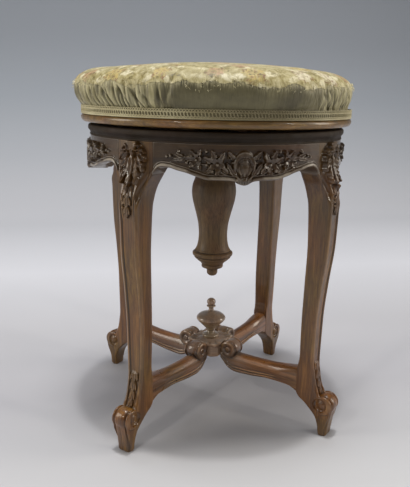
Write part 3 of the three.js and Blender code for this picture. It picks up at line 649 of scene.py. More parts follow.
def make_aprons():
    shares = np.concatenate([np.linspace(-1, -0.86, 13)[:-1], np.linspace(-0.86, 0.86, 261),
                             np.linspace(0.86, 1, 13)[1:]])
    apron = skin("apron", np.array([apron_section(share) for share in shares]) * STRETCH)
    finished(apron, 55)
    plain_wear(apron, slice(None), 0.7)
    paint_bead_highlights(apron)
    return copies(apron, APRON_PLACES, "carved_apron_{}")


# The ring on the base, and the moulded edge of the seat. Each outline says how far its points
# lie in from the rim, and how high above the foot, or, in RING_ROUND, how far below the top.

RING_OUTLINE = [(28, 0), (2.6, 0), (2.3, 0.5), (2.5, 1.6), (3, 2.2), (3, 3.2), (2.6, 4.4),
                (1.8, 5.6), (0.8, 6.6), (0.2, 7.6), (0, 8.8)]
RING_ROUND = [(0, 3), (0.4, 1.4), (1.2, 0.5), (2.4, 0), (28, 0)]
BOARD_OUTLINE = [(5, 0), (3.2, 0.5), (1.5, 1.7), (0.5, 3.4), (0, 5.2), (0.1, 7), (0.9, 8.6)]


def make_ring():
    """A rounded edge over a cove and a small fillet, in quarters that meet over the legs."""
    foot, r = LEG_TOP + SEAM, RING_RADIUS
    outline = [(r - back, foot + up) for back, up in RING_OUTLINE]
    outline += [(r - back, RING_TOP - down) for back, down in RING_ROUND]
    quarter = turned("ring", outline + outline[:1], 48, QUARTER - 0.1 / r)
    return copies(finished(quarter, 30), APRON_PLACES, "moulded_ring_{}")


def make_seat_board():
    """The board's rim: a cove below, a round, and a small bead on top."""
    foot, top, r = SEAT_FOOT, BOARD_TOP, BOARD_RADIUS
    outline = [(0, foot)] + [(r - back, foot + up) for back, up in BOARD_OUTLINE]
    outline += [(r - 2, top - 0.4), (r - 3, top), (0, top)]
    return finished(turned("moulded_seat_board", outline, 160), 30, "xyz")


# Turned pieces. A shape is a list of shares of the length, from the start, and radii.

PENDANT_SHAPE = [
    [0, 16.4], [0.012, 17.8], [0.03, 21.6], [0.05, 25.2], [0.061, 26.9], [0.066, 26.2],
    [0.071, 26.6], [0.078, 28.6], [0.087, 29.6], [0.1, 29.6], [0.11, 28.4], [0.116, 26.4],
    [0.121, 25.7], [0.127, 26], [0.134, 25.2], [0.15, 23.8], [0.175, 22.6], [0.21, 21.5],
    [0.27, 20.9], [0.35, 21.8], [0.44, 24.9], [0.52, 28.4], [0.6, 31.3], [0.65, 32],
    [0.705, 31.1], [0.76, 28], [0.8, 26.4], [0.84, 26.6], [0.87, 30], [0.91, 32.6], [0.97, 32.6],
    [1, 31.4]]
DROP_SHAPE = [
    [0, 13.4], [0.03, 14.6], [0.1, 15.8], [0.18, 16], [0.27, 15.4], [0.33, 13], [0.38, 10],
    [0.44, 8.4], [0.55, 8], [0.68, 7.9], [0.8, 7.3], [0.9, 5.6], [0.96, 3.4], [1, 0]]
URN_SHAPE = [
    [0, 11.6], [0.02, 12.4], [0.05, 12.6], [0.075, 11.4], [0.1, 7.4], [0.13, 5.4], [0.165, 4.9],
    [0.2, 6.4], [0.25, 9.2], [0.306, 12.5], [0.36, 15.8], [0.41, 18.8], [0.45, 20.9],
    [0.487, 22], [0.515, 21.6], [0.555, 19.6], [0.595, 16.2], [0.62, 12.4], [0.642, 8.4],
    [0.662, 5.4], [0.685, 4], [0.75, 3.6], [0.766, 4.6], [0.778, 6.5], [0.794, 7], [0.81, 6.4],
    [0.822, 5], [0.845, 5.6], [0.88, 6.5], [0.915, 6.6], [0.95, 5.6], [0.98, 3.5], [1, 0]]
# Radii of the nut's recess and of the bore that the screw goes down into
RECESS_RADIUS, BORE_RADIUS = 19.3, 14
BORE = [(RECESS_RADIUS, PENDANT_TOP), (RECESS_RADIUS, NUT_FOOT), (BORE_RADIUS, NUT_FOOT),
        (BORE_RADIUS, BORE_FOOT), (0, BORE_FOOT)]


def turned_shape(name, shape, places, start, length, sides, inside=()):
    """A turned piece from its shape, drawn from start on, with what is cut inside it."""
    outline = [(0, start)] + [(r, start + length * p)
                              for p, r in zip(places, flowing(shape, places)[:, 0])]
    return finished(turned(name, outline + list(inside), sides), 40, "zxy")


def make_pendant():
    places = np.concatenate([np.linspace(0, 0.15, 46), np.linspace(0.15, 1, 60)[1:]])
    return turned_shape("turned_pendant", PENDANT_SHAPE, places, PENDANT_FOOT,
                        PENDANT_TOP - PENDANT_FOOT, 72, BORE)


def make_drop():
    top = PENDANT_FOOT - SEAM
    length = top - DROP_FOOT
    drop = turned_shape("turned_drop", DROP_SHAPE, np.linspace(0, 1, 46), top, -length, 48)
    plain_wear(drop, points_of(drop)[:, 2] > (top - 0.4 * length) * MM)
    return drop


def make_urn():
    foot = BOSS_TOP + 0.1
    return turned_shape("turned_urn", URN_SHAPE, np.linspace(0, 1, 120), foot, URN_TOP - foot, 64)


# Stretcher

ARM_STATIONS = [
    # run, centre above the arm's height, depth, half width
    [0, 7, 11, 12], [0.045, 4, 17.5, 12.5], [0.1, 0.4, 24.5, 12.5], [0.2, -2.2, 27.5, 12.5],
    [0.4, -1.5, 25.8, 12.5], [0.62, 0.8, 23.4, 12.4], [0.79, 2.3, 24.2, 12.4],
    [0.9, 2.7, 26.4, 12.2], [0.96, 1.9, 30, 12.1], [1, 0.9, 33.2, 12.1]]
# Where an arm starts and ends, and the level that its stations are measured from
ARM_INNER, ARM_OUTER, ARM_LEVEL = 26.4, 152.9, BOSS_FOOT - 3
CURL_HALF = [(0, -12.2), (2.6, -12.2), (3.4, -11.4), (4.4, -11), (5.6, -11.2), (6.8, -12.6),
             (9, -13), (11, -12.8), (12.1, -11.8), (12.4, -10.8), (11.6, -10.2), (11.3, -9.8),
             (11.6, -9.4), (12.5, -8.8), (12.2, -7.9), (11.7, -7.4), (12.3, -6.8), (12.7, -3),
             (12.8, 0)]


def arm_ring(x, foot, tall, half, run):
    """One section of an arm: round above, with two fillets low on each side that fade out
    towards the leg, where the section grows square to meet it."""
    fading = float(ease(0.0, 0.06, run) * (1 - ease(0.6, 0.82, run)))
    square = 2 + 1.8 * float(ease(0.7, 1, run))
    up = np.concatenate([[0, 0.015], np.linspace(0.03, 0.38, 24)])
    beads = np.maximum(dome((up - 0.11) / 0.06), dome((up - 0.265) / 0.055))
    side = (0.99 - 0.1 * fading) + 0.11 * fading * beads
    side[0] -= 0.1
    turn = np.linspace(0, QUARTER, 18)[1:]
    crown_side = side[-1] * np.cos(turn).clip(0) ** (2 / square)
    crown_up = 0.38 + 0.62 * np.sin(turn) ** (2 / square)
    section = list(zip(half * np.concatenate([side, crown_side[:-1]]),
                       foot + tall * np.concatenate([up, crown_up[:-1]])))
    ring = [(x, 0, foot)] + [(x, y, z) for y, z in section] + [(x, 0, foot + tall)]
    return ring + [(x, -y, z) for y, z in section[::-1]]


def make_arms():
    runs = np.linspace(0, 1, 64)
    rings = [arm_ring(ARM_INNER + (ARM_OUTER - ARM_INNER) * run,
                      ARM_LEVEL + centre - depth / 2, depth, half, run)
             for run, (centre, depth, half) in zip(runs, flowing(ARM_STATIONS, runs))]
    arm = skin("arm", rings)
    curl = turned("arm_curl", mirrored(CURL_HALF), 48)
    turn_mesh(curl, QUARTER, "X", (ARM_INNER + 12, 0, ARM_LEVEL + 15.5))
    combined(arm, curl, "UNION")
    finished(arm, 42, "xyz")
    plain_wear(arm, points_of(arm)[:, 0] > 0.15)
    return copies(arm, LEG_PLACES, "scrolled_arm_{}")


# The boss's block: half its width, and how far out its rounded corners are
BOSS_HALF, BOSS_CORNER = 26, 31.5


def make_boss():
    """The block where the arms meet, under a plate whose four ruffled leaves lie between them."""
    angles = np.linspace(0, TURN, 193)[:-1]
    flats = np.maximum(np.abs(np.cos(angles)), np.abs(np.sin(angles)))
    block = np.minimum(BOSS_HALF / flats, BOSS_CORNER)
    lobed = 29 - 5 * np.cos(4 * angles)
    out = ease(25, 31, lobed)
    frill = lobed - 2.8 * out * np.abs(np.sin(8 * (angles - EIGHTH)))
    fold = 2.1 * out * np.cos(16 * (angles - EIGHTH))
    foot, plate, top = BOSS_FOOT, BOSS_TOP - 4.6, BOSS_TOP
    # outline, share of it, height, share of the fold
    rows = [(block, 0.82, foot, 0), (block, 0.95, foot + 0.4, 0), (block, 1, foot + 2.4, 0),
            (block, 1, plate - 4, 0), (block, 0.96, plate - 2, 0), (lobed, 0.9, plate - 0.6, 0),
            (frill, 0.99, plate + 0.6, 0), (frill, 1.02, plate + 2.0, 0),
            (frill, 1.01, top - 1.0, 0.3), (frill, 0.95, top - 0.4, 0.4),
            (frill, 0.86, top - 1.3, 0.7), (lobed, 0.72, top - 2.2, 0.5),
            (lobed, 0.6, top - 2.0, 0.2), (lobed, 0.5, top - 0.7, 0), (lobed, 0.42, top, 0),
            (lobed, 0.25, top, 0), (lobed, 0.08, top, 0)]
    boss = skin("lobed_boss", [np.column_stack([r * share * np.cos(angles),
                                                r * share * np.sin(angles), z + fold * ruffled])
                               for r, share, z, ruffled in rows])
    turn_mesh(boss, EIGHTH)
    return finished(boss, 60, "xyz")


# Seat: silk over the stuffing, and the gimp braid

COVER_OUTLINE = np.array([
    # way up from the braid, height, radius
    [0, 428.9, 183.0], [10, 438.5, 183.2], [15, 442.5, 184.4], [20, 447, 187], [26, 452.5, 189.4],
    [32, 458.5, 190.6], [38, 464.5, 190.7], [44, 470.2, 189.2], [50, 475.4, 185.8],
    [56, 479.4, 180.4], [64, 482.6, 172.6], [78, 485.8, 159], [100, 488.6, 137],
    [134, 491.9, 103], [172, 494.8, 65], [210, 496.6, 27], [236, 497, 1]])
# The stuffing has shifted this way
TOWARDS_LEFT = -math.pi + math.radians(11)
GATHERS = (
    # middle, half width and depth of each run of folds, by angle round the seat
    (-2.5, 0.46, 1.0), (-0.66, 0.4, 0.9), (EIGHTH, 0.42, 0.8), (3 * EIGHTH, 0.42, 0.8))
# Half the angle over each leg in which the cover has fine columns of faces, for the gathers
FINE_HALF = 0.47
# The hem that is turned in under the gimp: its radius, its height and its way up from the braid
HEM_RADIUS, HEM_LEVEL, HEM_WAY = 178, 429.2, -6
# Where the rows of flowers lie, by their way up from the braid, and how many each has
FLOWER_ROWS = ((53, 20), (88, 14), (122, 11), (158, 8), (198, 4))
# Way up from the braid below which the silk is tacked down, and how far the cloth may move
TACKED, CLOTH_CAP = 11, 1.5 * MM
# Radii at which the silk's weave and the gimp's twist are measured along an angle, in metres
SILK_RADIUS, GIMP_RADIUS = 0.19, 0.185


def make_gathers(angle, z):
    """How far the silk sinks between its gathers, by angle and height."""
    rng = np.random.default_rng(7)
    sunk = np.zeros_like(angle)
    for corner, spread, strength in GATHERS:
        place = corner - spread
        while place < corner + spread:
            width = rng.uniform(0.022, 0.047)
            middle = math.cos((place - corner) / spread * 1.35)
            depth = strength * rng.uniform(2.0, 6.8) * max(middle, 0.05) ** 0.6
            lean, sway = rng.uniform(-0.0042, 0.0006), rng.uniform(-0.00008, 0.00008)
            reach = rng.uniform(20, 46)
            centre = place + lean * (z - 441) + sway * (z - 441) ** 2
            fold = np.exp(-np.abs(wrapped(angle - centre) / (width * 0.27)) ** 1.5)
            fade = ease(0, 6, z - 435) * (1 - ease(441 + reach * 0.45, 441 + reach, z))
            sunk = sunk + depth * fold * fade
            place += width * rng.uniform(0.75, 1.15)
    return sunk


def cover_shape(along, angle):
    """The place of each point of the cover, by its way up from the braid and its angle."""
    height, radius = np.moveaxis(flowing(COVER_OUTLINE, along.ravel()).reshape(*along.shape, 2),
                                 -1, 0)
    rng = np.random.default_rng(3)
    side = ease(435, 446, height)
    leftward = np.cos(angle - TOWARDS_LEFT)
    reach = radius + 4.9 * leftward * side * (radius / 190)
    shoulder = ease(34, 62, along) * (1 - ease(62, 128, along))
    height = height + (0.4 + 0.6 * leftward) * shoulder
    wander = np.zeros_like(angle)
    for k in range(2, 15):
        size, start = rng.uniform(0.1, 0.55) / k ** 0.5, rng.uniform(0, TURN)
        wander += size * np.cos(k * angle + start + height * 0.05 * rng.uniform(-1, 1))
    reach = reach - make_gathers(angle, height) * (radius > 150)
    reach = reach + wander * side * (1 - ease(478, 490, height))
    crease = bump(angle + 1.545 + 0.0012 * (height - 450), 0.006)
    reach = reach + 0.9 * crease * side * (1 - ease(462, 474, height))
    lumps = np.zeros_like(angle)
    for _ in range(40):
        at, far = rng.uniform(0, TURN), 165 * math.sqrt(rng.uniform(0, 1))
        dx = reach * np.cos(angle) - far * math.cos(at)
        dy = reach * np.sin(angle) - far * math.sin(at)
        lumps += rng.uniform(-1.1, 0.8) * np.exp(-(dx ** 2 + dy ** 2) / rng.uniform(9, 30) ** 2)
    height = height + np.minimum(lumps, 0.5) * ease(476, 486, height)
    return np.stack([reach * np.cos(angle), reach * np.sin(angle), height], -1)


def relaxed(piece, hold, cap):
    """Blows the cover up a little as cloth, with its edge held, and lets no point move far."""
    start = points_of(piece)
    pinned = piece.vertex_groups.new(name="held")
    pinned.add([int(i) for i in np.flatnonzero(hold)], 1.0, "REPLACE")
    cloth = piece.modifiers.new("Cloth", "CLOTH")
    setting = cloth.settings
    setting.quality = 6
    setting.mass = 0.2
    setting.tension_stiffness = setting.compression_stiffness = 12
    setting.shear_stiffness = 6
    setting.bending_stiffness = 0.15
    setting.use_pressure = True
    setting.uniform_pressure_force = 4
    setting.vertex_group_mass = "held"
    setting.effector_weights.gravity = 0
    cloth.point_cache.frame_start, cloth.point_cache.frame_end = 1, 20
    for frame_number in range(1, 21):
        bpy.context.scene.frame_set(frame_number)
    evaluated = piece.evaluated_get(bpy.context.evaluated_depsgraph_get())
    step = points_of(evaluated) - start
    far = np.linalg.norm(step, axis=1, keepdims=True)
    step *= np.minimum(1, cap / np.maximum(far, 1e-9))
    piece.modifiers.remove(cloth)
    piece.vertex_groups.clear()
    piece.data.vertices.foreach_set("co", (start + step).ravel())
    piece.data.update()
    bpy.context.scene.frame_set(1)


def flower_figures():
    """Where the woven flowers lie on the silk: angle, way up from the braid, size, hue, turn."""
    rng = np.random.default_rng(23)
    for reach, count in FLOWER_ROWS:
        for i in range(count):
            angle = TURN * (i + rng.uniform(0.3, 0.7)) / count + reach
            yield (angle, reach + rng.uniform(-5, 6), rng.uniform(11, 16),
                   rng.integers(0, 3), rng.uniform(0, TURN))


def silk_figure(along, angle):
    """Paints the faded flowers: the share of petal, of leaf, of outline and the hue."""
    petal, foliage, outline, warm = (np.zeros_like(along) for _ in range(4))
    for centre, reach, size, hue, turn in flower_figures():
        near = np.interp(reach, COVER_OUTLINE[:, 0], COVER_OUTLINE[:, 2])
        dx, dy = wrapped(angle - centre) * near, along - reach
        close = np.hypot(dx, dy) < size * 2.4
        dx, dy = dx[close], dy[close]
        far, around = np.hypot(dx, dy), np.arctan2(dy, dx) + turn
        limit = size * (0.68 + 0.32 * np.abs(np.cos(2.5 * around)) ** 0.7)
        limit = limit * (1 + 0.12 * np.sin(9 * around + far) + 0.08 * np.sin(17 * around))
        share = far / limit
        inside = ease(0, 0.2, 1 - share)
        rim = bump(share - 0.94, 0.1) + 0.8 * bump(share - 0.42, 0.09)
        rim = rim * ease(-0.2, 0.5, np.sin(4 * around + 3 * turn) + 0.5 * np.sin(9 * around))
        petal[close] = np.maximum(petal[close], inside)
        outline[close] = np.maximum(outline[close], rim)
        warm[close] = np.where(inside > 0.02, hue / 2, warm[close])
        for k in range(4):
            way = turn + k * 1.7 + 0.4
            tip = (math.cos(way) * size * 2.1, math.sin(way) * size * 2.1)
            root = (math.cos(way) * size * 0.8, math.sin(way) * size * 0.8)
            high = np.clip(leaf(dx, dy, root, tip, size * 0.9, 1.0, 0.4, 0.0, 3), 0, 1)
            foliage[close] = np.maximum(foliage[close], high * (1 - inside))
    return {"petal": petal, "foliage": foliage, "outline": outline, "warm": warm}


def make_cover():
    """The silk: smooth before and behind, gathered over the legs, crowned and lumpy on top."""
    places = np.concatenate([np.linspace(0, 62, 32), np.linspace(62, 236, 30)[1:]])
    turns = np.concatenate([np.linspace(-FINE_HALF, FINE_HALF, 120),
                            np.linspace(FINE_HALF, QUARTER - FINE_HALF, 30)[1:-1]])
    turns = np.concatenate([turns - EIGHTH + i * QUARTER for i in range(4)])
    along, angle = np.meshgrid(places, turns, indexing="ij")
    under = np.column_stack([HEM_RADIUS * np.cos(turns), HEM_RADIUS * np.sin(turns),
                             turns * 0 + HEM_LEVEL])
    cover = skin("silk_cushion", np.concatenate([under[None], cover_shape(along, angle)]), False)
    way = np.concatenate([turns * 0 + HEM_WAY, along.ravel()])
    store(cover, way=way)
    relaxed(cover, way < TACKED, CLOTH_CAP)
    modify(cover, "SUBSURF", levels=1, render_levels=1)
    faced(cover, True)
    along = values_of(cover.data.attributes["way"].data, "value")
    x, y, z = points_of(cover).T
    angle = np.arctan2(y, x)
    edge = along + 2.6 * np.sin(angle * 11 + 2 * np.sin(angle * 5))
    edge = edge + 1.4 * np.sin(angle * 37 + along * 0.2)
    gathered = sum(ease(spread * 1.25, spread * 0.6, np.abs(wrapped(angle - corner)))
                   for corner, spread, _ in GATHERS)
    level = np.interp(along, COVER_OUTLINE[:, 0], COVER_OUTLINE[:, 1])
    # the sunk value lets the silk's material paint shade into its gathers
    store(cover, **silk_figure(along, angle), top=ease(34, 46, edge), edge=bump(edge - 40, 5),
          gathered=0.4 + 0.6 * gathered, sunk=np.clip(make_gathers(angle, level) / 5, 0, 1),
          cloth=np.column_stack([angle * SILK_RADIUS, along * MM, along * 0]))
    soft_shade(cover, 75)
    return cover


def make_fringe():
    """Worn threads that stand out along the edge of the top: short, fine and uneven."""
    rng = np.random.default_rng(11)
    points, faces = [], []
    for _ in range(600):
        tuft = rng.integers(0, 70)
        angle = TURN * (tuft + rng.normal(0.5, 0.3)) / 70
        start = rng.uniform(36, 48) + 2 * math.sin(angle * 11)
        length, sway = rng.uniform(1.2, 3.4), rng.uniform(-0.02, 0.02)
        turns = angle + np.array([0, 0.4, 1]) * sway
        spine = cover_shape(start - np.array([0, 0.5, 1]) * length, turns)
        out = np.column_stack([np.cos(turns), np.sin(turns), np.full(3, 0.4)])
        spine = spine + out * np.array([[-0.4], [rng.uniform(0.4, 1.1)], [rng.uniform(0.2, 0.9)]])
        aside = np.array([-math.sin(angle), math.cos(angle), 0]) * rng.uniform(0.28, 0.5)
        base = len(points)
        for at, outward, thick in zip(spine, out, (1.0, 0.8, 0.25)):
            points += [at - aside * thick, at + aside * thick, at + outward * 0.45 * thick]
        for a in (base, base + 3):
            faces += [(a + k, a + (k + 1) % 3, a + (k + 1) % 3 + 3, a + k + 3) for k in range(3)]
        faces += [(base + 2, base + 1, base), (base + 6, base + 7, base + 8)]
    return faced(meshed("silk_fringe", np.array(points) * MM, faces))


def repeated(piece, count):
    """One mesh with the piece all the way round the Z axis."""
    ring = points_of(piece)
    faces = np.array([list(face.vertices) for face in piece.data.polygons])
    spread, shown = [], []
    for i in range(count):
        cos, sin = math.cos(TURN * i / count), math.sin(TURN * i / count)
        spread.append(ring @ np.array([[cos, sin, 0], [-sin, cos, 0], [0, 0, 1]]))
        shown.append(faces + i * len(ring))
    name = piece.name + "s"
    bpy.data.objects.remove(piece)
    return meshed(name, np.concatenate(spread), np.concatenate(shown).tolist())


def make_braid():
    """Gimp: a woven band, cords along both of its edges, and loops between them."""
    low, high, r = BRAID_FOOT, BRAID_TOP, BRAID_RADIUS
    back, front, lip = r - 2.2, r - 1.2, high - 0.6
    parts = [turned("gimp_band", [(back, low), (front, low), (front, lip), (back, lip),
                                  (back, low)], 180)]
    for level, thick in ((low + 1.1, 1.2), (low + 3.0, 0.6), (high - 3.4, 0.6)):
        ring = [(r - 1.0 + thick * 0.85 * math.cos(a), level + thick * math.sin(a))
                for a in np.linspace(0, TURN, 9)]
        parts.append(turned("gimp_cord", ring, 240))
    for size, tall, level, count, lean in ((2.1, 1.5, (low + high) / 2 - 0.3, 290, 0.5),
                                           (1.6, 0.85, high - 1.7, 330, 0.0)):
        bpy.ops.object.select_all(action="DESELECT")
        bpy.ops.mesh.primitive_torus_add(major_segments=12, minor_segments=5,
                                         major_radius=size * MM, minor_radius=0.72 * MM)
        loop = fresh("gimp_loop")
        edit(loop)
        bpy.ops.transform.resize(value=(tall, 1, 1), center_override=(0, 0, 0))
        done()
        turn_mesh(loop, QUARTER, "Y")
        turn_mesh(loop, lean, "X", (r - 0.8, 0, level))
        parts.append(repeated(loop, count))
    braid = joined("gimp_trim", parts)
    soft_shade(braid, 60)
    x, y, z = points_of(braid).T
    angle, radius = np.arctan2(y, x), np.hypot(x, y)
    # the last value marks the front, where shade is painted on the gimp
    store(braid, cloth=np.column_stack([angle * GIMP_RADIUS, z, radius]),
          proud=ease(-1.6, 0.1, radius / MM - r), soil=bump(angle + 1.45, 0.5))
    return braid


# Materials

def linear(code):
    """An sRGB hex colour as linear RGBA."""
    parts = [int(code[i:i + 2], 16) / 255 for i in (1, 3, 5)]
    return (*[c / 12.92 if c <= 0.04045 else ((c + 0.055) / 1.055) ** 2.4 for c in parts], 1.0)


def add(tree, kind, inputs=(), stops=(), out=0, **settings):
    """Adds a node with its settings, its inputs' values or links, in order or by name, and its
    ramp's stops, and gives one of its outputs. A colour is a hex code."""
    made = tree.nodes.new("ShaderNode" + kind)
    for key, value in settings.items():
        setattr(made, key, value)
    for key, value in inputs.items() if isinstance(inputs, dict) else enumerate(inputs):
        if isinstance(value, bpy.types.NodeSocket):
            tree.links.new(value, made.inputs[key])
        else:
            made.inputs[key].default_value = linear(value) if isinstance(value, str) else value
    for i, (place, colour) in enumerate(stops):
        ramp = made.color_ramp.elements
        stop = ramp[i] if i < 2 else ramp.new(place)
        stop.position, stop.color = place, linear(colour)
    return made.outputs[out] if made.outputs else made


def painted(name):
    """A new material, and the way to add a node to it."""
    made = bpy.data.materials.new(name)
    made.use_nodes = True
    made.node_tree.nodes.clear()
    return made, partial(add, made.node_tree)


# Inputs without names: a MapRange node takes a value, the range it comes in and the range it
# is given. A Mix node takes a factor, then what lies under and over, as 2 and 3 for numbers
# and as 6 and 7 for colours.
MIX_COLOURS = {"out": 2, "data_type": "RGBA"}


def walnut(name, deep, brown, honey, edge, dust=0.0, polish=0.22, stain_and_shade=0.0, near=0.0,
           shade=0.0, coat=0.3, gloss=1.5, rub_and_highlight_strength=0.8):
    """French polished walnut: brown heartwood with darker streaks along the grain, short dark
    pores, polish rubbed through to honey on the edges, pale painted highlights where the edge
    colour and the rub are raised, and old wax and dirt in the recesses. It may be darker
    towards its top, partly as stain and partly as painted shade under the seat, dusty all over
    or near the stool's middle, and darker on its sides and below, as painted shade."""
    made, node = painted(name)
    grain = node("Attribute", out="Vector", attribute_name="grain")
    wear = node("Attribute", out="Fac", attribute_name="wear")
    # streaks 9 mm wide and 160 mm long
    wide = node("Mapping", {"Vector": grain, "Scale": (6, 110, 110)})
    streak = node("TexNoise", {"Vector": wide, "Scale": 1.0, "Detail": 5.0, "Roughness": 0.62,
                               "Distortion": 0.5})
    # fine figure 1.6 mm wide and 30 mm long
    fine = node("Mapping", {"Vector": grain, "Scale": (32, 620, 620)})
    figure = node("TexNoise", {"Vector": fine, "Scale": 1.0, "Detail": 3.0, "Roughness": 0.6})
    # pores are 0.2 mm wide, and drawn 0.7 mm wide so that they show
    thin = node("Mapping", {"Vector": grain, "Scale": (110, 1400, 1400)})
    pore = node("TexNoise", {"Vector": thin, "Scale": 1.0, "Detail": 1.0})
    mixed = node("Mix", {0: 0.38, 2: streak, 3: figure}, data_type="FLOAT")
    base = node("ValToRGB", [mixed], [(0.34, deep), (0.66, honey), (0.5, brown)])
    dark = node("MapRange", [pore, 0.62, 0.72, 0.0, 0.55])
    # heartwood that drifts between red and olive over 70 mm, redder towards the floor
    place = node("TexCoord", out="Object")
    level = node("SeparateXYZ", [place], out=2)
    drift = node("TexNoise", {"Vector": grain, "Scale": 14.0, "Detail": 2.0})
    rise = node("MapRange", [level, 0.06, 0.32, -0.12, 0.08])
    block = node("MapRange", [level, 0.026, 0.05, 0.2, 0.0])
    raised = node("Math", [block, rise], operation="ADD")
    redder = node("Math", [drift, raised], operation="ADD")
    hue = node("ValToRGB", [redder], [(0.38, "#fce8dc"), (0.6, "#eef2d2")])
    # rubbed edges, broken up by a noise of 12 mm, with painted highlights where the rub is
    # strong and the edge colour pale, and dirt in the recesses
    patch = node("TexNoise", {"Vector": place, "Scale": 85.0, "Detail": 4.0})
    high = node("MapRange", [wear, 0.54, 0.85, 0.0, rub_and_highlight_strength])
    rub_and_highlight = node("Math", [high, patch], operation="MULTIPLY")
    low = node("MapRange", [wear, 0.48, 0.3, 0.0, 0.72])
    layers = [(dark, deep, "MIX"), (1.0, hue, "MULTIPLY"), (rub_and_highlight, edge, "MIX"),
              (low, "#1b120c", "MIX")]
    # darker towards the top: partly stain, partly painted shade under the seat
    if stain_and_shade:
        above = node("MapRange", [level, 0.25, 0.37, 0.0, stain_and_shade])
        layers.append((above, "#1d130b", "MIX"))
    up = node("SeparateXYZ", [node("NewGeometry", out="Normal")], out=2)
    across = node("Mapping", {"Vector": place, "Scale": (1, 1, 0)})
    out = node("VectorMath", [across], out="Value", operation="LENGTH")
    # painted shade: darker on the sides and below, less near the legs
    if shade:
        away = node("MapRange", [up, 0.6, -0.1, 0.0, shade])
        root = node("MapRange", [out, 0.1, 0.15, 1.0, 0.5])
        away = node("Math", [away, root], operation="MULTIPLY")
        layers.append((away, "#20150c", "MIX"))
    if dust:
        # grey dust on what faces up
        flat = node("MapRange", [up, -0.3, 1.0, 0.0, dust])
        cloud = node("Math", [flat, patch], operation="MULTIPLY")
        if near:
            middle = node("MapRange", [out, near, near * 0.6])
            cloud = node("Math", [cloud, middle], operation="MULTIPLY")
        layers.append((cloud, "#988d82", "MIX"))
    for share, over, blend in layers:
        base = node("Mix", {0: share, 6: base, 7: over}, blend_type=blend, **MIX_COLOURS)
    rough = node("MapRange", [patch, 0.3, 0.75, polish, polish + 0.22])
    relief = node("Bump", {"Height": figure, "Strength": 0.18, "Distance": 0.0004})
    shader = node("BsdfPrincipled", {
        "Base Color": base, "Roughness": rough, "Normal": relief, "IOR": gloss,
        "Coat Weight": coat, "Coat Roughness": 0.1})
    node("OutputMaterial", [shader])
    return made


def beech_planed():
    """Planed beech, unpolished: pale, with short darker flecks, and dull."""
    made, node = painted("beech_planed")
    place = node("TexCoord", out="Object")
    # flecks 1 mm wide and 6 mm long
    spread = node("Mapping", {"Vector": place, "Scale": (160, 160, 1000)})
    fleck = node("TexNoise", {"Vector": spread, "Scale": 1.0, "Detail": 3.0})
    colour = node("ValToRGB", [fleck], [(0.3, "#8d6b45"), (0.7, "#b8976b")])
    relief = node("Bump", {"Height": fleck, "Strength": 0.2, "Distance": 0.0003})
    shader = node("BsdfPrincipled", {"Base Color": colour, "Normal": relief, "Roughness": 0.62})
    node("OutputMaterial", [shader])
    return made


def iron_cast():
    """Cast iron with worn black paint: a fine sand texture and rusty freckles."""
    made, node = painted("cast_iron_black")
    place = node("TexCoord", out="Object")
    # sand grain of 0.8 mm, rust freckles of 6 mm
    sand = node("TexNoise", {"Vector": place, "Scale": 1250.0, "Detail": 2.0})
    rust = node("TexNoise", {"Vector": place, "Scale": 160.0, "Detail": 5.0})
    colour = node("ValToRGB", [rust], [(0.5, "#2e2c2a"), (0.7, "#5a3a26")])
    relief = node("Bump", {"Height": sand, "Strength": 0.5, "Distance": 0.0003})
    shader = node("BsdfPrincipled", {"Base Color": colour, "Normal": relief, "Roughness": 0.55,
                                     "Metallic": 0.7})
    node("OutputMaterial", [shader])
    return made


def steel_greased():
    """Bare turned steel with old grease: fine rings round the axis, brown in patches."""
    made, node = painted("steel_greased")
    place = node("TexCoord", out="Object")
    # tool rings 0.7 mm apart, grease patches of 8 mm
    rings = node("Mapping", {"Vector": place, "Scale": (60, 60, 1400)})
    tool = node("TexNoise", {"Vector": rings, "Scale": 1.0})
    grease = node("TexNoise", {"Vector": place, "Scale": 125.0, "Detail": 4.0})
    colour = node("ValToRGB", [grease], [(0.4, "#8f8c86"), (0.68, "#4e4235")])
    rough = node("MapRange", [tool, 0.0, 1.0, 0.28, 0.5])
    shader = node("BsdfPrincipled", {"Base Color": colour, "Roughness": rough, "Metallic": 1.0})
    node("OutputMaterial", [shader])
    return made


